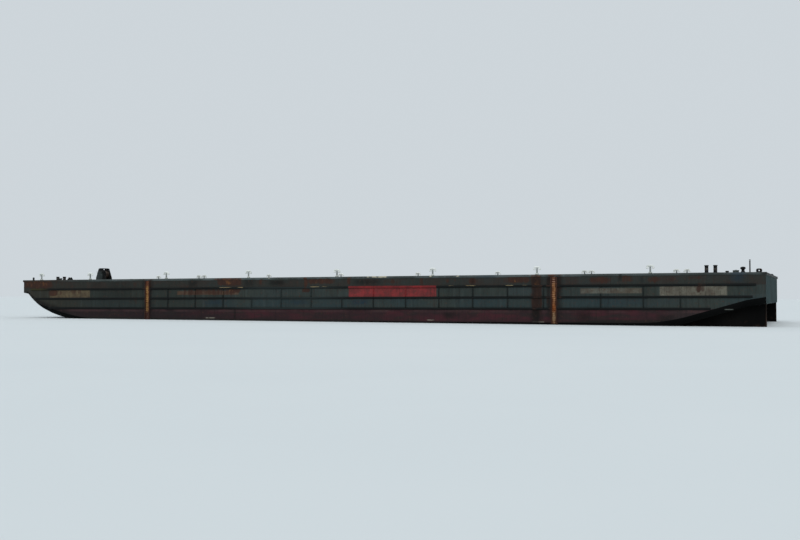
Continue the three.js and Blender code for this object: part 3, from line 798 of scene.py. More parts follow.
# %% Lantern glass
def glass_finish():
    """Clear-coated pale glass, dulled where dust lies."""
    f = Finish("lantern_glass", roughness=0.08, specular=0.6)
    dust = f.step(f.noise(60, detail=5), 0.45, 0.7)
    f.shader.inputs["Coat Weight"].default_value = 0.4
    return f.done(f.mix(dust, (206, 212, 210), (150, 152, 146)), f.add(0.08, f.both(dust, 0.4)))


lantern_glass = glass_finish()
print("finishes so far:", len(bpy.data.materials))

# %% [markdown]
# ### Deck plating
# The deck is worn red-brown and grey plate, with raised weld seams, rust where it stays damp, worn
# lanes along it and scrapes across it. A brick texture laid along the hull gives the plates their
# staggered seams, and its mortar is the weld.

# %% Deck finish
plate_length, plate_width, weld_width = 0.9, 0.25, 0.003


def deck_plates(f):
    """A brick texture in Object coordinates, with plates for bricks and welds for mortar."""
    plates = f.node("ShaderNodeTexBrick", offset=0.5, squash=1.0)
    f.link(f.place, plates.inputs["Vector"])
    plates.inputs["Scale"].default_value = 1.0
    plates.inputs["Brick Width"].default_value = plate_length
    plates.inputs["Row Height"].default_value = plate_width
    plates.inputs["Mortar Size"].default_value = weld_width
    plates.inputs["Mortar Smooth"].default_value = 0.4
    plates.inputs["Color1"].default_value = colour(94, 67, 57)
    plates.inputs["Color2"].default_value = colour(72, 61, 56)
    plates.inputs["Mortar"].default_value = colour(44, 35, 32)
    return plates


def deck_scrapes(f, base):
    """Pale scrapes along the deck and dark skid marks across it: drawn-out noise inside patches."""
    scrape = f.both(f.step(f.noise(26, (0.05, 1, 1), detail=5, shift=5.0), 0.56, 0.66),
                    f.step(f.noise(1.6, (0.5, 1, 1), detail=5, shift=6.5), 0.5, 0.62))
    base = f.coat(base, (126, 121, 114), scrape, 0.6)
    skid = f.both(f.step(f.noise(20, (1, 0.06, 1), detail=5, shift=15.0), 0.56, 0.66),
                  f.step(f.noise(1.9, (1, 0.5, 1), detail=5, shift=16.0), 0.5, 0.6))
    return f.coat(base, (46, 39, 36), skid, 0.65)


def deck_finish():
    """Plates under grey clouds, two worn lanes, fine rust, scrapes, dark stains and painted edges."""
    f = Finish("deck_plating", roughness=0.8, specular=0.2)
    plates = deck_plates(f)
    cloud = f.step(f.noise(1.1, detail=8, roughness=0.6), 0.42, 0.6)
    base = f.coat(plates.outputs["Color"], (88, 88, 84), cloud, 0.75)
    off_lane = f.size(f.less(f.size(f.y), 0.62))
    worn = f.step(f.noise(2.4, (0.25, 1, 1), detail=7, shift=3.0), 0.36, 0.6)
    base = f.coat(base, (122, 116, 108), f.step(off_lane, 0.34, 0.12), worn, 0.5)
    fine = f.step(f.noise(14, detail=8, roughness=0.7, shift=2.0), 0.52, 0.68)
    base = deck_scrapes(f, f.coat(base, rust_colour(f, 20), fine, 0.7))
    stain = f.step(f.noise(2.6, detail=6, shift=9.0), 0.56, 0.66)
    base = f.coat(base, (40, 36, 34), stain, 0.65)
    base = f.coat(base, (58, 66, 63), f.step(f.size(f.y), 1.5, 1.53), 0.6)
    height = f.add(f.both(fine, 0.3), plates.outputs["Fac"])
    return f.done(base, f.less(0.85, f.both(stain, 0.4)), height, depth=0.002)


deck_plating = deck_finish()
print("deck plating:", len(deck_plating.node_tree.nodes), "nodes")

# %% [markdown]
# ## The hull
# A barge's hull is plating on straight lines from deck to bilge. A box could be bent to shape by
# hand, but the curves of this one are known in side view, so each section is worked out. It is one
# ring of points: down the port side, round the bilge, across the bottom, up again and back across
# the deck. The bottom line is flat amidships and rises at the ends on an arc that runs into a
# straight rake.

# %% Lines of the hull
bow_end, stern_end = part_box("hull")[1][0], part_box("hull")[0][0]
bow_slope, turn_slope, stern_slope = 17.2, 43.9, 16.2


def arc(start, radius, from_slope, to_slope, direction, count=24):
    """Points of an arc in side view that carries on from start, between two slopes in degrees."""
    a = np.radians(np.linspace(from_slope, to_slope, count + 1))
    x = start[0] + direction * radius * (np.sin(a) - math.sin(a[0]))
    z = start[1] + radius * (math.cos(a[0]) - np.cos(a))
    return np.column_stack((x, z))


def rise(start, x, slope):
    """The point at x on the straight line that rises from start at a slope in degrees."""
    return np.array(((x, start[1] + abs(x - start[0]) * math.tan(math.radians(slope))),))


bow_arc = arc((42.75 * m, 0), 41.2 * m, 0, bow_slope, 1)
bow_turn = arc(bow_arc[-1], 9.5 * m, bow_slope, turn_slope, 1, 12)
bow_rake = rise(bow_turn[-1], 60 * m, turn_slope)
bow_points = np.concatenate((bow_arc, bow_turn[1:], bow_rake, ((bow_end, 5.48 * m),)))
stern_arc = arc((-44.3 * m, 0), 25 * m, 0, stern_slope, -1)
stern_rake = rise(stern_arc[-1], -58.5 * m, stern_slope)
stern_points = np.concatenate((stern_arc, stern_rake, ((stern_end, 3.5 * m),)))
bottom_points = np.concatenate((stern_points[::-1], bow_points))


def bottom_line(x):
    """Height of the bottom on the centre line, between the points worked out above."""
    return np.interp(x, bottom_points[:, 0], bottom_points[:, 1])


def bilge_line(x):
    """Radius of the turn of the bilge, which narrows along the bow rake."""
    return np.clip((59.3 * m - x) * 0.27, 0.06 * m, 0.9 * m)


print("bottom line:", len(bottom_points), "points")

# %% [markdown]
# Long seas and hard berths have pressed the thin side plates in between their frames. A bump in the
# finish would show it in the shading only, so the plates themselves are hollowed. The hollow between
# two frames is a product of sines, one along the hull and one up the side.

# %% Hull rings
side_rows, bilge_rows, bottom_rows, deck_rows = 22, 6, 16, 24
hollow_depth = 0.0011
frame_pitch = upright_pitch / 4
bar_pitch = bar_heights[0] - bar_heights[1]


def side_hollow(x, z):
    """How far the plate is pressed in, at x along and z up."""
    along = np.sin(math.pi * (x - upright_first) / frame_pitch) ** 2
    upward = np.sin(math.pi * (z - bar_heights[2]) / bar_pitch) ** 2
    swell = 0.6 + 0.4 * np.sin(x * 1.7 + z * 3.0)
    inside = np.clip((bow_end - 0.2 - x) / 0.2, 0, 1) * np.clip((x - stern_end - 0.25) / 0.2, 0, 1)
    return hollow_depth * along * upward * swell * inside


def hull_rings(x):
    """points[station, place round the ring], from the port deck edge down and round to starboard."""
    bottom, radius = bottom_line(x)[:, None], bilge_line(x)[:, None]
    rows = np.linspace(0, 1, side_rows + 1)[None, :]
    side_z = deck_level + (bottom + radius - deck_level) * rows
    side_y = half_beam - side_hollow(x[:, None], side_z)
    a = np.linspace(0, math.pi / 2, bilge_rows + 1)[None, 1:]
    port_y = np.concatenate((side_y, half_beam - radius + radius * np.cos(a)), 1)
    port_z = np.concatenate((side_z, bottom + radius - radius * np.sin(a)), 1)
    across = np.linspace(1, -1, bottom_rows + 1)[None, 1:-1]
    bottom_y, bottom_z = (half_beam - radius) * across, bottom + 0 * across
    deck_y = half_beam * np.linspace(-1, 1, deck_rows + 1)[None, 1:-1] + 0 * bottom
    deck_z = deck_level + 0 * deck_y
    y = np.concatenate((port_y, bottom_y, -port_y[:, ::-1], deck_y), 1)
    z = np.concatenate((port_z, bottom_z, port_z[:, ::-1], deck_z), 1)
    return np.stack((np.repeat(x[:, None], y.shape[1], 1), y, z), -1)


even_stations = np.linspace(stern_end, bow_end, 330)
stations = np.unique(np.round(np.concatenate((even_stations, bottom_points[:, 0])), 5))
rings = hull_rings(stations)
print("hull:", rings.shape, "stations by points")

# %% [markdown]
# The rust follows the barge's working life: most of it starts at scraped places along an edge and
# runs down. Where it lies could be painted on the mesh by hand, but a table can be read and changed.
# Each row is one such run, with its middle, width, top, length and strength, in real metres. Soot
# marks, blue touch-up paint and bare steel are listed in the same way.

# %% Where the marks of wear lie
# x, width, top z, length down, strength
rust_runs = [
    (57.8, 7.2, 7.4, 1.3, 0.92), (54.6, 1.9, 5.85, 1.1, 0.95), (54.0, 5.6, 5.8, 1.1, 0.42),
    (49.6, 3.6, 6.0, 1.1, 0.5), (37.7, 1.9, 7.3, 4.4, 0.42), (35.25, 2.4, 7.85, 6.6, 0.45),
    (23.6, 12.0, 5.86, 1.2, 0.58), (19.7, 4.7, 7.6, 1.3, 1.0), (18.7, 2.2, 5.86, 0.5, 1.0),
    (14.0, 0.7, 7.4, 1.0, 0.5), (6.15, 0.6, 7.6, 1.9, 1.15), (3.5, 5.4, 7.35, 0.9, 0.72),
    (6.0, 1.6, 5.85, 0.7, 0.85), (-1.25, 0.8, 7.5, 1.2, 0.8), (-8.2, 3.9, 7.3, 1.0, 0.56),
    (-13.0, 0.8, 7.4, 1.4, 0.5), (-21.0, 2.0, 7.3, 1.1, 0.6), (-17.4, 3.2, 7.2, 0.7, 0.4),
    (-27.5, 4.2, 7.35, 1.1, 0.72), (-30.35, 1.9, 7.6, 7.0, 0.7), (-32.85, 2.6, 7.85, 6.8, 0.62),
    (-39.2, 4.0, 7.3, 1.1, 0.6), (-43.0, 2.2, 7.4, 1.2, 0.6), (-46.9, 2.4, 7.3, 1.1, 0.66),
    (-52.0, 3.0, 7.2, 0.6, 0.5), (-52.7, 1.7, 6.2, 1.4, 0.66), (-52.45, 0.6, 5.8, 0.9, 0.85),
    (-49.0, 1.0, 7.2, 0.9, 0.5), (-57.6, 3.4, 2.1, 1.3, 0.5),
]
# The row at x -61.1 is a dark mark on the gunwale and the top of the side at the transom corners.
soot_marks = [
    (26.5, 1.8, 7.3, 1.1, 0.75), (16.1, 1.9, 7.35, 1.2, 0.7), (11.1, 3.0, 7.15, 0.8, 0.85),
    (-4.2, 4.6, 7.15, 0.85, 0.75), (-30.35, 1.7, 7.3, 6.6, 0.6), (-30.3, 1.7, 2.8, 2.4, 1.0),
    (-32.1, 0.8, 7.4, 6.6, 0.85), (-33.6, 0.8, 7.4, 6.6, 0.85), (34.55, 0.6, 7.4, 6.4, 0.7),
    (35.95, 0.6, 7.4, 6.4, 0.7), (40.9, 4.6, 7.2, 3.6, 0.3), (45.4, 2.0, 7.2, 1.0, 0.35),
    (18.8, 0.4, 2.8, 2.4, 0.95), (-17.3, 1.9, 2.3, 1.0, 0.8), (-37.1, 1.9, 2.4, 1.4, 0.7),
    (-42.1, 0.3, 7.6, 1.0, 0.85), (-44.9, 0.6, 7.2, 1.0, 0.4), (-48.2, 2.4, 2.0, 1.4, 0.6),
    (52.6, 2.6, 2.75, 1.6, 0.85), (-20.9, 0.6, 7.2, 1.0, 0.6), (-61.1, 1.5, 7.9, 0.62, 1.0),
]
blue_marks = [
    (-3.0, 2.5, 4.15, 0.8, 1.0), (-57.5, 1.9, 7.7, 1.4, 0.75), (22.6, 3.8, 4.2, 0.9, 0.6),
    (7.0, 3.4, 4.2, 0.9, 0.6), (-44.5, 11.0, 4.25, 1.1, 0.3), (-23.0, 3.0, 7.65, 0.4, 0.6),
]
bare_marks = [
    (20.4, 2.6, 6.24, 0.14, 1.0), (17.7, 1.0, 6.24, 0.14, 0.9), (4.0, 3.9, 6.24, 0.14, 0.95),
    (-17.6, 1.0, 6.24, 0.14, 0.8), (-20.7, 1.7, 6.24, 0.14, 0.85), (-26.4, 1.3, 6.24, 0.14, 0.85),
    (-28.6, 1.0, 6.24, 0.14, 0.9), (-6.2, 4.2, 7.7, 0.3, 1.0), (12.6, 0.9, 7.7, 0.3, 0.6),
    (-18.4, 1.0, 7.7, 0.3, 0.8), (-14.6, 0.8, 7.7, 0.3, 0.8), (-29.0, 1.6, 7.7, 0.3, 0.5),
]
print("marks of wear:", sum(map(len, (rust_runs, soot_marks, blue_marks, bare_marks))))

# %% From marks to attributes
# Painted shade along the bow rake, as a black band: x and width in real metres
rake_shade_x = (50, 51, 52.5, 54, 55.3, 56.4, 57.4, 58.5, 59.6)
rake_shade_width = (0.2, 0.7, 1.4, 1.72, 1.7, 1.4, 1.2, 0.8, 0.4)


def marks(x, z, table):
    """The strongest mark at each point: flat-topped across, and fading downwards along its length."""
    strength = np.zeros(np.shape(x))
    for middle, width, top, length, power in table:
        across = np.exp(-(np.abs(x - middle * m) / (0.5 * width * m)) ** 4)
        down = (top * m - z) / (length * m)
        fade = np.clip((down + 0.06) / 0.1, 0, 1) * np.clip((1.15 - down) / 0.5, 0, 1)
        strength = np.maximum(strength, power * across * fade)
    return strength


def wear(points):
    """The attributes that the finishes read, for an array of points."""
    x, z = points[..., 0].ravel(), points[..., 2].ravel()
    tables = {"rust": rust_runs, "soot_and_shade": soot_marks, "blue": blue_marks, "bare": bare_marks}
    return {key: marks(x, z, table) for key, table in tables.items()}


def bow_rake_shade_band(x, z):
    """Painted shade along the bow rake, a black band widest at half its length: 1 at the rake, 0 above."""
    height = (z - bottom_line(x)) / np.interp(x, np.array(rake_shade_x) * m, np.array(rake_shade_width) * m)
    return np.clip((1.15 - height) * 2.5, 0, 1) * np.clip((x - 49.5 * m) / (1.5 * m), 0, 1)


hull_attributes = wear(rings)
# The painted shade along the bow rake joins the soot marks in one attribute.
rake_shade = bow_rake_shade_band(rings[..., 0], rings[..., 2]).ravel()
hull_attributes["soot_and_shade"] = np.maximum(hull_attributes["soot_and_shade"], rake_shade)
print("attributes:", *hull_attributes)

# %% [markdown]
# ## Uprights and plating
# Short flat bars stand on the side between the long rubbing bars. They could be objects of their own,
# but on the real barge they are welded to the plating, so here they belong to its mesh. That mesh
# has a finish for each part of the rings.

# %% Uprights
upright_count = 13
aft_uprights = (-39.4 * m, -45.2 * m, -50.1 * m)
no_upper_part = (3, 6)


def upright_places():
    """(x, lower bar, upper bar) for each: an even pitch between the ladders, then three listed."""
    upper, middle, lower = bar_heights
    even = upright_first + upright_pitch * np.arange(upright_count - 1, -1, -1)
    places = [(x, lower, middle) for x in (*even, *aft_uprights)]
    return places + [(x, middle, upper) for i, (x, _, _) in enumerate(places) if i not in no_upper_part]


def upright_shapes():
    """Rounded flat bars between the rubbing bars, on both sides."""
    inner, outer, gap = half_beam - 0.002, half_beam + 0.013, 0.0163
    bars = [block(x - 0.008, x + 0.008, inner, outer, low + gap, high - gap, 0.003)
            for x, low, high in upright_places()]
    return bars + [moved(bar, flip=True) for bar in bars]


uprights = merge(*upright_shapes())
print("uprights:", len(upright_shapes()), "bars")

# %% Hull plating
def hull_faces():
    """The quads of the rings by part: sides, bottom and deck, then the two flat ends."""
    _, (quads,) = grid(rings, close_v=True)
    count, length = rings.shape[:2]
    row = np.tile(np.arange(length), count - 1)
    keel_end = side_rows + 2 * bilge_rows + bottom_rows
    on_deck = row >= keel_end + side_rows
    on_bottom = (row >= side_rows) & (row < keel_end)
    order = np.arange(length)
    ends = order[None, ::-1], (count - 1) * length + order[None, :]
    return quads[~on_bottom & ~on_deck], quads[on_bottom], quads[on_deck], *ends


side, *others = hull_faces()
hull_points = rings.reshape(-1, 3)
shapes = [((hull_points, [side]), side_paint)]
for faces, finish in zip(others, (bottom_paint_and_shade, deck_plating, transom_paint, bow_paint)):
    shapes.append(((np.zeros((0, 3)), [faces - len(hull_points)]), finish))
make("hull_plating", [*shapes, (uprights, upright_paint)], replaces=["hull"],
     attributes=hull_attributes)

# %% [markdown]
# ## Bars along the deck edge and the sides
# These bars take the knocks when a barge comes alongside. Every one is a section carried along the
# hull. A bevelled curve could give the same bar, but it would stay perfectly even. Here knocks press
# it in: each dent is a bell shape with its own place, width and depth, and a slow wave keeps the bar
# from being dead straight.

# %% Bars
def knocked(along, seed, count, reach):
    """How much of its depth a bar loses at each place along it, from 0 to about 0.5."""
    chance = np.random.default_rng(seed)
    place = chance.uniform(-reach, reach, (count, 1))
    width = chance.uniform(0.3, 1.6, (count, 1)) * m
    depth = chance.uniform(0.08, 0.42, (count, 1))
    bells = (depth * np.exp(-((along[None] - place) / width) ** 2)).max(0)
    return bells + 0.05 * (1 + np.sin(along * 2.9 + seed)) * np.abs(np.sin(along * 0.7 + seed))


def bar_points(along, section, loss):
    """points[station, place] as (along, out, up), from a section of (out, up) in real metres."""
    section = np.array(section) * m
    out = section[None, :, 0] * (1 - loss[:, None])
    up = section[None, :, 1] + 0 * out
    return np.stack((np.repeat(along[:, None], len(section), 1), out, up), -1)


# Out from the side and up from the keel, in real metres
gunwale_section = [
    (0.0, 7.30), (0.035, 7.305), (0.085, 7.36), (0.113, 7.43), (0.12, 7.5), (0.116, 7.57),
    (0.098, 7.625), (0.06, 7.655), (0.02, 7.66), (0.0, 7.65),
]
gunwale_reach = bow_end + 0.0118
side_seed, side_dents, end_seed, end_dents = 3, 46, 7, 16
sides = (("port", 1), ("starboard", -1))


def gunwale(name, bar):
    """Closes the points of a gunwale bar and makes the piece."""
    make(f"gunwale_bar_{name}", [(grid(bar, close_v=True, caps=True), gunwale_paint)],
         replaces=[f"gunwale_{name}"], attributes=wear(bar))


for number, (name, direction) in enumerate(sides):
    along = np.linspace(-gunwale_reach, gunwale_reach, 700)
    loss = knocked(along, side_seed + number, side_dents, bow_end)
    bar = bar_points(along, gunwale_section, loss)
    bar[..., 1] = direction * (half_beam + bar[..., 1])
    gunwale(name, bar)

for number, (name, direction) in enumerate((("bow", 1), ("stern", -1))):
    along = np.linspace(-half_beam + 0.0003, half_beam - 0.0003, 220)
    loss = knocked(along, end_seed + number, end_dents, half_beam)
    across = bar_points(along, gunwale_section, loss)[..., [1, 0, 2]]
    across[..., 0] = direction * (bow_end + across[..., 0])
    gunwale(name, across)

# %% Rubbing bars
# Out from the side and up from the bar's middle, in real metres
rubbing_section = [
    (0.0, -0.16), (0.11, -0.123), (0.162, -0.104), (0.178, -0.085), (0.18, -0.06), (0.18, 0.06),
    (0.178, 0.085), (0.162, 0.104), (0.11, 0.123), (0.0, 0.16),
]
rubbing_ends = {"upper": (-59.75, 59.4), "middle": (-59.3, 58.45), "lower": (-54.0, 55.6)}
ladder_half, post_width = 0.31 * m, 0.014
bay_half = ladder_half + post_width + 0.0003
bay_step = 0.0002
slope_length = 0.03
bar_seed, bar_dents = 20, 60


def rubbing_bar(level, height, seed):
    """A bar with sloping ends, cut back to a strip where a ladder stands over it."""
    low, high = (v * m for v in rubbing_ends[level])
    edges = np.array([place + s * (bay_half + nudge) for place in ladder_places for s in (-1, 1)
                      for nudge in (0.0, bay_step)])
    along = np.unique(np.concatenate((np.linspace(low, high, 760), edges)))
    slope = np.clip(np.minimum(along - low, high - along) / slope_length, 0, 1)
    loss = 1 - (1 - knocked(along, seed, bar_dents, high)) * (0.25 + 0.75 * slope)
    to_ladder = np.min([np.abs(along - place) for place in ladder_places], 0)
    loss = np.where(to_ladder < bay_half + bay_step / 2, 0.89, loss)
    bar = bar_points(along, rubbing_section, loss)
    bar[..., 1] += half_beam
    bar[..., 2] += height
    return grid(bar, close_v=True, caps=True)


for number, (level, height) in enumerate(zip(rubbing_ends, bar_heights)):
    for name, flip in (("port", False), ("starboard", True)):
        shape = moved(rubbing_bar(level, height, bar_seed + number * 2 + flip), flip=flip)
        make(f"bar_{name}_{level}", [(shape, fender_paint)],
             replaces=[f"rubbing_bar_{name}_{level}"], attributes=wear(shape[0]))

# %% [markdown]
# ## Ladders
# Round rungs between two flat posts, in front of a rusty back plate. An Array modifier would space the
# rungs in one go, but would make them all alike. Here each rung is swept along a path of its own, so
# no rung is quite level, and some are bowed in the middle.

# %% Ladders
rung_count, rung_pitch, rung_radius = 21, 0.3 * m, 0.0027
post_low, post_high = 0.75 * m, 7.297 * m
first_ladder_seed = 40


def rung(z, chance):
    """A rod at height z that is bowed and tilted a little, by chance."""
    across = np.linspace(-ladder_half - 0.001, ladder_half + 0.001, 7)
    bulge = 1 - (across / ladder_half) ** 2
    bow = chance.uniform(-0.0012, 0.0006) * bulge
    tilt = chance.uniform(-0.0008, 0.0008) * across / ladder_half
    out = 0.0128 + chance.uniform(-0.001, 0.0006) * bulge
    return sweep(np.column_stack((across, out, z + bow + tilt)), ring(rung_radius, 10), up=(0, 1, 0))


def ladder_parts(seed):
    """Rungs, then posts with a foot each, then the back plate. The ladder faces +Y."""
    chance = np.random.default_rng(seed)
    rungs = [rung(post_low + rung_pitch * (i + 0.6), chance) for i in range(rung_count)]
    posts, feet = [], []
    for s in (-1, 1):
        low, high = sorted((s * ladder_half, s * (ladder_half + post_width)))
        posts.append(block(low, high, 0.0023, 0.018, post_low, post_high, 0.002))
        middle = (low + high) / 2
        feet.append(block(middle - 0.011, middle + 0.011, 0.0005, 0.0045, post_low - 0.004,
                          post_low + 0.012, 0.001))
    back = block(-ladder_half, ladder_half, 0.0023, 0.004, post_low, post_high, 0.0005)
    return merge(*rungs), merge(*posts, *feet), back


for number, (name, direction) in enumerate(sides):
    for end, x in zip(("forward", "aft"), ladder_places):
        turn = 0 if direction > 0 else math.pi
        parts = ladder_parts(first_ladder_seed + number * 2 + (end == "aft"))
        rungs, posts, back = (moved(part, (x, direction * half_beam, 0), turn) for part in parts)
        make(f"side_ladder_{name}_{end}", [(rungs, rung_steel), (posts, ladder_post), (back, ladder_rust)],
             replaces=[f"ladder_{name}_{end}"])

# %% [markdown]
# ## Air pipes
# These let the closed hull breathe. Each is a tube bent like a walking stick, twice over. It could be
# joined from straight and bent parts, but the joints would show. So one path runs up from the left
# mouth, over the stem and down to the right mouth, and a ring of points is carried along it. Round
# heads with a float cage sit over the mouths.

# %% Bolts and pipe heads
arm_reach, arm_bend, pipe_radius = 0.4 * m, 0.2 * m, 0.12 * m
lift = 0.0003  # every foot on the deck stands this far over it


def bolts(count, radius, size, low, high):
    """Six-sided bolt heads on a circle round the Z axis."""
    head = lathe([(0, low), (size, low), (size, high - size * 0.2), (size * 0.8, high), (0, high)], 6)
    angles = np.arange(count) * 2 * math.pi / count
    return merge(*[moved(head, (radius * math.cos(a), radius * math.sin(a), 0)) for a in angles])


def pipe_heads(mouth):
    """The painted heads with their bands, and the dark cages in them, over both mouths."""
    head = lathe([(0.0118, mouth), (0.0152, mouth), (0.016, mouth + 0.001), (0.016, mouth + 0.0135),
                  (0.0153, mouth + 0.0155), (0.0125, mouth + 0.021), (0.0118, mouth + 0.021),
                  (0.0118, mouth + 0.004)], 28)
    band = lathe([(0.0155, mouth + 0.005), (0.0166, mouth + 0.0052), (0.0166, mouth + 0.0082),
                  (0.0155, mouth + 0.0084)], 28)
    cage = lathe([(0, mouth + 0.0015), (0.0119, mouth + 0.0015), (0.0119, mouth + 0.003),
                  (0, mouth + 0.003)], 20)
    places = [(s * arm_reach, 0, 0) for s in (-1, 1)]
    heads = [moved(part, place) for place in places for part in (head, band)]
    return heads, [moved(cage, place) for place in places]


print("ten bolts have", len(bolts(10, 1, 0.1, 0, 0.1)[0]), "points")

# %% Air pipes
def pipe_arms(arm_height, mouth):
    """The bent tube: half of its path is worked out, and mirrored for the other half."""
    quarter = np.linspace(0, math.pi / 2, 9)[1:]
    bend_x = arm_reach - arm_bend + arm_bend * np.cos(quarter)
    bend_z = arm_height - arm_bend + arm_bend * np.sin(quarter)
    half_x = np.concatenate(((arm_reach, arm_reach), bend_x, (0.0,)))
    half_z = np.concatenate(((mouth + 0.005, arm_height - arm_bend), bend_z, (arm_height,)))
    x = np.concatenate((half_x, -half_x[-2::-1]))
    z = np.concatenate((half_z, half_z[-2::-1]))
    return sweep(np.column_stack((x, 0 * x, z)), ring(pipe_radius, 18), up=(0, 1, 0))


def pipe_parts(arm_height):
    """Arms and heads, then foot, then stem and its bolts, then cages. Its foot is at the origin."""
    mouth = arm_height - arm_bend - 0.02
    heads, cages = pipe_heads(mouth)
    top = arm_height
    collar = lathe([(0, top - 0.016), (0.0132, top - 0.016), (0.0138, top - 0.0145),
                    (0.0138, top - 0.0125), (0.0128, top - 0.011), (0, top - 0.011)], 24)
    stem = lathe([(0, lift), (pipe_radius, lift), (pipe_radius, top), (0, top)], 24)
    foot = lathe([(0, lift), (0.0236, lift), (0.024, 0.0008), (0.024, 0.019), (0.0232, 0.0205),
                  (0.0205, 0.0212), (0.0128, 0.0255), (0.012, 0.0262), (0, 0.0262)], 28)
    flange = lathe([(0.0235, 0.0085), (0.0252, 0.009), (0.0252, 0.0125), (0.0235, 0.013)], 28)
    studs = bolts(8, 0.0178, 0.0016, 0.0208, 0.0232)
    arms = merge(pipe_arms(arm_height, mouth), *heads, collar)
    return arms, merge(foot, flange), merge(stem, studs), merge(*cages)


for name in frame["nodes"]:
    if name.startswith("air_pipe_"):
        low, high = (np.array(corner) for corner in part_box(name))
        place = (*((low + high) / 2)[:2], deck_level)
        parts = pipe_parts(high[2] - deck_level - pipe_radius)
        arms, foot, stem, cages = (moved(part, place) for part in parts)
        make(name.replace("air_pipe", "vent"),
             [(arms, pipe_white), (foot, foot_white), (stem, stem_grey), (cages, fitting_black)],
             replaces=[name])

# %% [markdown]
# ## Bitts, chocks and towing brackets
# Rope runs round all of these, so their paint is gone where it rubs. Posts and pins are turned from
# profiles. A chock could be cut from a block with a Boolean modifier, but cut edges are hard to
# round. So it is a ring of rounded section between an oval hole and its outer outline.

# %% Bitts
# End, x, height, distance between the two posts
bitt_places = (("forward", 5.435, 0.062, 0.14), ("aft", -5.392, 0.108, 0.114))
bitt_side = 1.66


def bitt_post(height):
    """A post that swells at its foot and carries a rounded cap."""
    cap = height - 0.012
    return lathe([
        (0, 0.006), (0.0305, 0.006), (0.0305, 0.0085), (0.0268, 0.0105), (0.0252, 0.013),
        (0.0246, height * 0.4), (0.0244, height * 0.55), (0.0248, cap - 0.004), (0.0285, cap),
        (0.0298, cap + 0.002), (0.03, cap + 0.006), (0.0292, height - 0.0035),
        (0.026, height - 0.0012), (0.012, height - 0.0002), (0, height)], 36)


def bitt_parts(height, spacing):
    """Two capped posts on a plate, with a band that ropes have polished round each."""
    reach = spacing / 2 + 0.045
    low, high = height * 0.3, height * 0.62
    band = lathe([(0.0242, low), (0.0252, low + 0.002), (0.0249, high - 0.003), (0.0242, high)], 36)
    gusset = plate([(0.023, 0.007), (0.037, 0.007), (0.037, 0.009), (0.0245, 0.024), (0.023, 0.024)],
                   -0.0015, 0.0015)
    one = [bitt_post(height), *[moved(gusset, turn=math.pi / 2 + turn) for turn in (0, math.pi)]]
    places = [(s * spacing / 2, 0, 0) for s in (-1, 1)]
    posts = [moved(part, place) for place in places for part in one]
    base = block(-reach, reach, -0.04, 0.04, lift, 0.008, 0.002)
    return merge(base, *posts), merge(*[moved(band, place) for place in places])


for name, s in sides:
    for end, x, height, spacing in bitt_places:
        parts = bitt_parts(height, spacing)
        painted, rubbed = (moved(part, (x, s * bitt_side, deck_level)) for part in parts)
        make(f"bitt_pair_{name}_{end}", [(painted, fitting_black), (rubbed, rope_worn)],
             replaces=[f"bitts_{name}_{end}"])

# %% Chocks
chock_places = (("forward", 1, 5.95), ("aft", -1, -6.01))
chock_side = 1.755
hole_height = 0.025


def chock_ring():
    """Round it goes the angle, and across it a rounded section from the hole to the outline."""
    angle = np.linspace(0, 2 * math.pi, 72, endpoint=False)
    c, s = np.cos(angle), np.sin(angle)
    hole = np.column_stack((0.023 * c, hole_height + 0.012 * s))
    radius = 1 / (np.abs(c / 0.043) ** 3.2 + np.abs(s / 0.027) ** 3.2) ** (1 / 3.2)
    outer = np.column_stack((radius * c, np.maximum(hole_height + radius * s, 0.0004)))
    turn = np.linspace(0, 2 * math.pi, 20, endpoint=False)
    bulge = np.sign(np.cos(turn)) * np.abs(np.cos(turn)) ** 0.55
    thick = np.sign(np.sin(turn)) * np.abs(np.sin(turn)) ** 0.55
    share = (0.5 + 0.5 * bulge)[None, :, None]
    flat = hole[:, None] * (1 - share) + outer[:, None] * share
    y = np.repeat((thick * 0.014)[None], len(angle), 0)
    return grid(np.stack((flat[..., 0], y, flat[..., 1]), -1), close_u=True, close_v=True)


def chock_parts():
    """The ring on its foot, and a bare steel lip round the hole on each face."""
    foot = block(-0.053, 0.053, -0.0174, 0.0174, lift, 0.006, 0.0015)
    turn = np.linspace(0, 2 * math.pi, 48, endpoint=False)
    x, z = 0.024 * np.cos(turn), hole_height + 0.013 * np.sin(turn)
    lips = [sweep(np.column_stack((x, 0 * x + y, z)), ring(0.0016, 8), up=(0, 1, 0), closed=True)
            for y in (-0.012, 0.012)]
    return merge(chock_ring(), foot), merge(*lips)


for name, s in sides:
    for end, e, x in chock_places:
        turn = -s * e * math.pi / 4
        body, lips = (moved(part, (x, s * chock_side, deck_level), turn) for part in chock_parts())
        make(f"corner_chock_{name}_{end}", [(body, fitting_black), (lips, rope_worn)],
             replaces=[f"chock_{name}_{end}"])

# %% Towing brackets
bracket_x, bracket_side, pin_height = 5.86, 0.91, 0.048


def bracket_parts():
    """Two round-headed cheeks on a plate, and a pin through them between washers."""
    base = block(-0.08, 0.08, -0.05, 0.05, lift, 0.008, 0.002)
    nose = np.linspace(0.2, math.pi - 0.2, 9)
    head = np.column_stack((0.02 * np.cos(nose), 0.049 + 0.02 * np.sin(nose)))
    outline = np.concatenate(([(-0.06, 0.004), (0.06, 0.004)], head))
    cheeks = [plate(outline, low, low + 0.012, radius=0.002) for low in (-0.032, 0.02)]
    pin = lathe([(0, -0.04), (0.0085, -0.04), (0.01, -0.0385), (0.01, 0.0385), (0.0085, 0.04),
                 (0, 0.04)], 24, "y")
    washers = [lathe([(0.0095, s * 0.0325), (0.0145, s * 0.0325), (0.0145, s * 0.036),
                      (0.0095, s * 0.036)], 24, "y") for s in (-1, 1)]
    return merge(base, *cheeks), moved(merge(pin, *washers), (0, 0, pin_height))


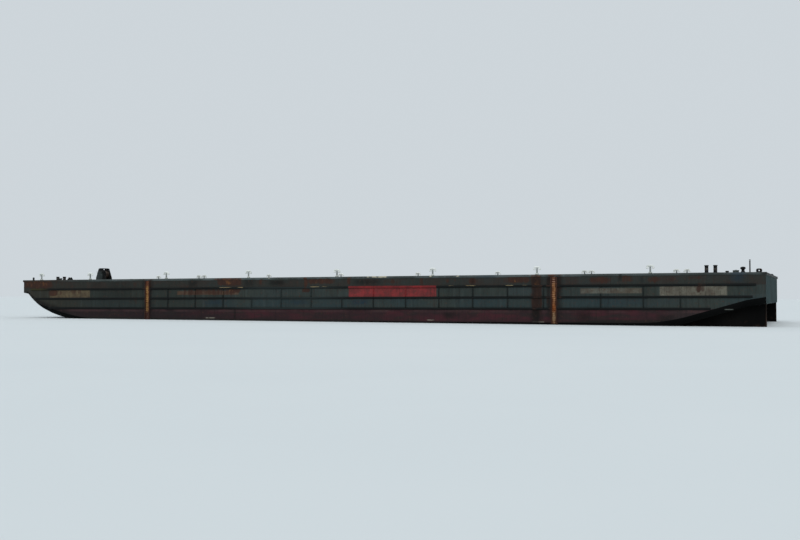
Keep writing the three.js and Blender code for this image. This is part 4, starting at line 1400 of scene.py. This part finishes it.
for name, s in sides:
    body, pin = (moved(part, (bracket_x, s * bracket_side, deck_level)) for part in bracket_parts())
    make(f"towing_bracket_{name}", [(body, fitting_black), (pin, rope_worn)],
         replaces=[f"tow_bracket_{name}"])

# %% [markdown]
# ## Hatches
# A square coaming with a flange and small lugs for dogs, and a lid that swings up on two hinges. Four
# walls could be set corner to corner, but one section swept round a rounded square has no seams.
# Each lid rides its own body, so it opens by itself.

# %% Hatch coamings and lids
hatch_places = (("forward", 5.695), ("aft", -5.695))
hatch_side, hinge_places = 1.4, (-0.025, 0.025)
coaming_half, coaming_corner = 0.0315, 0.007


def coaming_parts():
    """A wall and a flange swept round one square, with four lugs and two hinge blocks on them."""
    outline = rounded(coaming_half * 2, coaming_half * 2, coaming_corner, 5)
    path = np.column_stack((outline, np.zeros(len(outline))))
    wall = sweep(path, rounded(0.007, 0.0337, 0.0015, 2) + (0, 0.01715), closed=True)
    flange = sweep(path, rounded(0.0115, 0.0027, 0.0008, 1) + (-0.0055, 0.00165), closed=True)
    lug = block(-0.004, 0.004, 0.034, 0.0415, 0.022, 0.031, 0.001)
    lugs = [moved(lug, (x, 0, 0)) for x in (-0.018, 0.018)]
    lugs += [moved(lug, turn=turn) for turn in (math.pi / 2, -math.pi / 2)]
    hinges = [block(x - 0.005, x + 0.005, -0.0415, -0.034, 0.02, 0.0325, 0.001) for x in hinge_places]
    return merge(wall, flange, *lugs, *hinges)


def lid_parts():
    """A cover with a raised middle and two hinge straps, then the handle and the hinge knuckles."""
    cover = block(-0.04, 0.04, -0.04, 0.04, 0.0343, 0.0393, 0.0016, 3)
    raised = block(-0.028, 0.028, -0.028, 0.028, 0.0385, 0.0413, 0.0012, 2)
    straps = [block(x - 0.006, x + 0.006, -0.0445, -0.012, 0.0345, 0.0425, 0.0012) for x in hinge_places]
    knuckle = lathe([(0, -0.0065), (0.003, -0.0065), (0.003, 0.0065), (0, 0.0065)], 16, "x")
    knuckles = [moved(knuckle, (x, -0.0428, 0.0375)) for x in hinge_places]
    half = [(-0.012, 0.0385), (-0.012, 0.0435), (-0.0105, 0.0455), (-0.008, 0.046)]
    bend = np.array([(x, 0.0325, z) for x, z in half] + [(-x, 0.0325, z) for x, z in half[::-1]])
    handle = sweep(bend, ring(0.0013, 8), up=(0, 1, 0))
    return merge(cover, raised, *straps), merge(handle, *knuckles)


for name, s in sides:
    for end, x in hatch_places:
        place, turn = (x, s * hatch_side, deck_level), 0 if s > 0 else math.pi
        make(f"hatch_coaming_{name}_{end}", [(moved(coaming_parts(), place, turn), hatch_paint)],
             replaces=[f"hatch_{name}_{end}"])
        cover, iron = (moved(part, place, turn) for part in lid_parts())
        make(f"hatch_cover_{name}_{end}", [(cover, hatch_paint), (iron, rope_worn)],
             body=f"lid_{name}_{end}", replaces=[f"hatch_lid_{name}_{end}"])

# %% [markdown]
# ## Capstan and winch
# The capstan's drum has six raised ribs that grip the rope. Bars could be joined to a plain drum, but
# then they would meet it in hard lines. So the radius is a turned profile plus a flat-topped wave
# round the axis. The winch drum carries one layer of wire: a helix of small round section.

# %% Capstan
rib_count, rib_height = 6, 0.0028
capstan_place = (-5.745, 0.8, deck_level)


def ribbed_drum():
    """A turned drum whose waist carries the ribs."""
    profile = np.array([
        (0, 0.027), (0.0295, 0.027), (0.032, 0.0285), (0.0305, 0.031), (0.0225, 0.0375),
        (0.0195, 0.043), (0.0188, 0.052), (0.0195, 0.061), (0.0225, 0.0665), (0.0305, 0.0715),
        (0.0355, 0.0755), (0.0368, 0.081), (0.0366, 0.087), (0.0345, 0.0925), (0.029, 0.0985),
        (0.018, 0.103), (0, 0.104)])
    angle = np.linspace(0, 2 * math.pi, 96, endpoint=False)
    wave = np.clip(np.cos(rib_count * angle) * 2.5, 0, 1)
    height = profile[:, 1:]
    waist = np.clip((height - 0.031) / 0.006, 0, 1) * np.clip((0.069 - height) / 0.004, 0, 1)
    radius = profile[:, :1] + rib_height * waist * wave[None]
    across, along = radius * np.cos(angle), radius * np.sin(angle)
    return grid(np.stack((across, along, np.repeat(height, len(angle), 1)), -1), close_v=True)


foot = lathe([(0, lift), (0.0415, lift), (0.042, 0.0008), (0.042, 0.0105), (0.041, 0.012),
              (0.0355, 0.0135), (0.034, 0.0155), (0.034, 0.0205), (0.033, 0.022), (0, 0.022)], 48)
foot_bolts = bolts(10, 0.0383, 0.0019, 0.0118, 0.0148)
nut = lathe([(0, 0.103), (0.006, 0.103), (0.006, 0.1055), (0.0045, 0.1065), (0, 0.1065)], 6)
foot, foot_bolts, head, nut = (
    moved(part, capstan_place) for part in (foot, foot_bolts, ribbed_drum(), nut))
make("capstan_foot", [(foot, fitting_black), (foot_bolts, rope_worn)],
     replaces=["capstan_base"])
make("capstan_head", [(head, fitting_black), (nut, rope_worn)], body="capstan",
     replaces=["capstan_drum"])

# %% Winch cheeks
axle_height = 0.135
winch_place = (5.82, 0, deck_level)
drum_half, cheek_in = 0.062, 0.079
cheek_out = cheek_in + 0.014
cheek_outline = np.array([(-0.11, 0.02), (0.11, 0.02), (0.11, 0.07), (0.05, 0.24), (-0.05, 0.24),
                          (-0.11, 0.07)])


def winch_cheek(s):
    """The cheek on one side, its rim, and its bearing."""
    inner, outer = sorted((s * cheek_in, s * cheek_out))
    cheek = plate(cheek_outline, inner, outer, radius=0.0015)
    steps = np.linspace(0, 1, 9)[:-1, None]
    pairs = zip(cheek_outline, np.roll(cheek_outline, -1, 0))
    loop = np.concatenate([a + (b - a) * steps for a, b in pairs]) * (0.97, 0.985) + (0, 0.0015)
    path = np.column_stack((loop[:, 0], np.full(len(loop), s * (cheek_out + 0.0005)), loop[:, 1]))
    rim = sweep(path, rounded(0.005, 0.009, 0.001, 1), up=(0, 1, 0), closed=True)
    near, middle, far = (s * (cheek_out + v) for v in (-0.001, 0.006, 0.009))
    bearing = lathe([(0.0125, near), (0.026, near), (0.026, middle), (0.023, far), (0.0125, far)],
                    28, "y")
    return cheek, rim, moved(bearing, (0, 0, axle_height))


def winch_base(s):
    """The skid under one cheek, and the cap over it."""
    skid_low, skid_high = sorted((s * (cheek_in - 0.002), s * cheek_out))
    cap_low, cap_high = sorted((s * cheek_in, s * cheek_out))
    return (block(-0.115, 0.115, skid_low, skid_high, lift, 0.026, 0.002),
            block(-0.052, 0.052, cap_low, cap_high, 0.238, 0.25, 0.002))


print("the cheeks stand", round(2 * cheek_in, 3), "m apart")

# %% Winch stand
def winch_gearbox():
    """Two blocks outside the port cheek, with three ribs."""
    near = cheek_out - 0.0005
    low = block(-0.055, 0.055, near, cheek_out + 0.042, lift, 0.15, 0.006, 3)
    high = block(-0.04, 0.04, near, cheek_out + 0.036, 0.148, 0.19, 0.006, 3)
    ribs = [block(x - 0.002, x + 0.002, cheek_out + 0.038, cheek_out + 0.045, 0.012, 0.14, 0.001)
            for x in (-0.032, 0, 0.032)]
    return merge(low, high, *ribs)


def winch_lever():
    """A bent lever with a round knob on a small block."""
    y = cheek_out + 0.02
    lever = sweep([(0.062, y, 0.12), (0.07, y, 0.155), (0.073, y, 0.19)], ring(0.0022, 10),
                  up=(0, 1, 0))
    knob = lathe([(0, -0.004), (0.0028, -0.0028), (0.004, 0), (0.0028, 0.0028), (0, 0.004)], 14)
    pivot = block(0.053, 0.066, cheek_out + 0.012, cheek_out + 0.028, 0.108, 0.124, 0.002)
    return lever, moved(knob, (0.0735, y, 0.193)), pivot


cheeks, rims, bearings = zip(*[winch_cheek(s) for s in (-1, 1)])
skids, caps = zip(*[winch_base(s) for s in (-1, 1)])
rails = [block(x, x + 0.02, -cheek_out, cheek_out, lift, 0.024, 0.002) for x in (-0.1, 0.08)]
tie = block(-0.03, 0.03, -cheek_out, cheek_out, 0.244, 0.254, 0.002)
stand = merge(*cheeks, *rims, *rails, *skids, tie, *caps)
parts = (stand, winch_gearbox(), merge(*bearings, *winch_lever()))
stand, gearbox, iron = (moved(part, winch_place) for part in parts)
make("winch_stand", [(stand, fitting_black), (gearbox, gear_grey), (iron, rope_worn)],
     replaces=["winch_frame"])

# %% Winch drum
drum_place = (winch_place[0], 0, deck_level + axle_height)
flange_radius, barrel_radius, shaft_radius = 0.1, 0.066, 0.011
wire_turns, wire_radius = 17, 0.0035


def winch_flange(s):
    """One flange of the drum, with a raised rim and a raised hub."""
    rim, near, far = flange_radius, s * drum_half, s * (drum_half + 0.012)
    return lathe([
        (shaft_radius, near), (barrel_radius, near), (rim - 0.006, near), (rim - 0.001, near + s * 0.0005),
        (rim, near + s * 0.003), (rim, far - s * 0.003), (rim - 0.001, far - s * 0.0005),
        (rim - 0.007, far), (rim - 0.009, far - s * 0.003), (0.04, far - s * 0.003),
        (0.037, far), (shaft_radius, far)], 64, "y")


def winch_core():
    """Shaft and barrel, turned in one."""
    end, shaft, barrel = cheek_out - 0.001, shaft_radius, barrel_radius
    return lathe([
        (0, -end), (shaft - 0.001, -end), (shaft, -end + 0.001), (shaft, -drum_half),
        (barrel, -drum_half), (barrel, drum_half), (shaft, drum_half), (shaft, end - 0.001),
        (shaft - 0.001, end), (0, end)], 48, "y")


def winch_wire():
    """A helix round the barrel, with its turns side by side."""
    angle = np.linspace(0, 2 * math.pi * wire_turns, wire_turns * 40 + 1)
    across = np.linspace(-drum_half + wire_radius, drum_half - wire_radius, len(angle))
    radius = barrel_radius + wire_radius
    path = np.column_stack((radius * np.cos(angle), across, radius * np.sin(angle)))
    return sweep(path, ring(wire_radius, 8), up=(0, 1, 0))


drum = merge(winch_core(), *[winch_flange(s) for s in (-1, 1)])
drum, wire = (moved(part, drum_place) for part in (drum, winch_wire()))
make("winch_barrel", [(drum, fitting_black), (wire, wire_steel)], body="winch",
     replaces=["winch_drum"])

# %% [markdown]
# ## Light pole and skegs
# The pole stands on a small foot with three gussets and carries a lantern with a clear lens. Nearly
# all of it is turned. The skegs are deep fins that hold the barge on a straight course. Their upper
# edge is read from the hull's own bottom line, so that no gap can open under the stern rake.

# %% Light pole
pole_place = (-5.79, 0, deck_level)
pole = lathe([
    (0, lift), (0.0218, lift), (0.022, 0.0008), (0.022, 0.0042), (0.0212, 0.005), (0.011, 0.006),
    (0.01, 0.012), (0.0092, 0.206), (0.012, 0.2075), (0.0125, 0.2085), (0.0125, 0.211),
    (0.0105, 0.212), (0, 0.212)], 28)
gusset = plate([(0.0092, 0.005), (0.02, 0.005), (0.02, 0.0065), (0.0105, 0.022), (0.0092, 0.022)],
               -0.0009, 0.0009)
gussets = [moved(gusset, turn=turn) for turn in (0, 2 * math.pi / 3, 4 * math.pi / 3)]
lens = lathe([(0, 0.2115), (0.0098, 0.2115), (0.0104, 0.213), (0.0107, 0.217), (0.0104, 0.221),
              (0.0098, 0.2225), (0, 0.2225)], 28)
guard = lathe([(0, 0.222), (0.0116, 0.222), (0.0123, 0.223), (0.0121, 0.226), (0.0085, 0.2305),
               (0.0035, 0.2328), (0, 0.233)], 28)
rods = []
for a in np.arange(4) * math.pi / 2 + 0.4:
    path = [(0.0115 * math.cos(a), 0.0115 * math.sin(a), z) for z in (0.21, 0.217, 0.224)]
    rods.append(sweep(path, ring(0.0006, 6), up=(1, 0, 0)))
pole = moved(merge(pole, guard, *gussets, *rods), pole_place)
make("stern_light", [(pole, fitting_black), (moved(lens, pole_place), lantern_glass)],
     replaces=["light_pole"])

# %% Skegs
skeg_side, skeg_aft, skeg_foot = 1.59, -6.09, 0.006


def skeg_shapes():
    """A blade with three ribs under the stern rake, then the shoe and the post along its edges."""
    top_x = np.linspace(-48.9, -60.9, 40) * m
    top = np.column_stack((top_x, bottom_line(top_x) - 0.0003))
    foot = np.array([(skeg_aft, skeg_foot), (-5.05, skeg_foot)])
    blade = plate(np.concatenate((top, foot)), -0.0225, 0.0225)
    front = sweep([(-4.906, 0, top[0, 1] - 0.004), (-4.972, 0, 0.023), (-5.036, 0, 0.0085)],
                  ring(0.0075, 12), up=(0, 1, 0))
    shoe = block(skeg_aft, -5.06, -0.04, 0.04, skeg_foot, 0.015, 0.003)
    post = block(skeg_aft, skeg_aft + 0.012, -0.036, 0.036, skeg_foot, top[-1, 1] - 0.006, 0.003)
    ribs = [block(x - 0.003, x + 0.003, -0.0245, 0.0245, 0.02, bottom_line(x) - 0.02, 0.001)
            for x in (-5.4, -5.65, -5.9)]
    return merge(blade, front, *ribs), merge(shoe, post)


for name, s in sides:
    fin, edges = (moved(part, (0, s * skeg_side, 0)) for part in skeg_shapes())
    make(f"stern_skeg_{name}", [(fin, skeg_paint), (edges, skeg_edge)],
         replaces=[f"skeg_{name}"])

# %% [markdown]
# ## Stage
# A pale floor lies at the waterline, with the slight trim by the bow at which the barge floats, and
# soft light falls from a wide lamp over the port side and from all round.

# %% Floor and light
floor_reach = 150.0
sky_colour, sky_strength = (0.82, 0.89, 0.94, 1), 0.75
lamp_width, lamp_energy = math.radians(50), 1.55
lamp_turn = (math.radians(-44), math.radians(-12), 0)


def stage_floor():
    """One wide quad along the waterline, in two pale tones."""
    f = Finish("floor_pale", roughness=0.9, specular=0.1)
    f.done(f.mix(f.noise(0.4, detail=3), (206, 212, 214), (212, 217, 218)))
    corners = np.array([(-1, -1), (1, -1), (1, 1), (-1, 1)]) * floor_reach
    z = waterline_middle + waterline_slope * corners[:, 0]
    mesh = bpy.data.meshes.new("floor")
    mesh.from_pydata(np.column_stack((corners, z)).tolist(), [], [(0, 1, 2, 3)])
    mesh.materials.append(f.material)
    floor = bpy.data.objects.new("floor", mesh)
    bpy.context.scene.collection.objects.link(floor)
    floor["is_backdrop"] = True


stage_floor()
world = bpy.data.worlds.new("studio")
bpy.context.scene.world = world
world.use_nodes = True
background = world.node_tree.nodes["Background"].inputs
background["Color"].default_value = sky_colour
background["Strength"].default_value = sky_strength
lamp_data = bpy.data.lights.new("soft_lamp", "SUN")
lamp_data.angle = lamp_width
lamp_data.energy = lamp_energy
lamp = bpy.data.objects.new("soft_lamp", lamp_data)
lamp.rotation_euler = lamp_turn
bpy.context.scene.collection.objects.link(lamp)
bpy.context.scene.view_settings.view_transform = "Standard"
print("floor from", round(waterline_middle, 3), "m up, amidships")

# %% Finishes of the plain nodes under the dressing
slot_finish = {
    "hull_paint": side_paint, "antifouling": skeg_paint, "gunwale_paint": gunwale_paint,
    "fender_paint": fender_paint, "rusted_steel": ladder_rust, "white_paint": pipe_white,
    "black_paint": fitting_black, "hatch_paint": hatch_paint, "bare_steel": worn_steel,
}
node_slot = {row["node"]: row["material_slot"] for row in frame["record"]["subparts"]}
for name, node in frame["nodes"].items():
    node.data.materials.clear()
    node.data.materials.append(slot_finish[node_slot[name]])
print("slots:", len(slot_finish))

# %% Measure and finish
low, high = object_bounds()
print("triangles in all:", sum(piece_count))
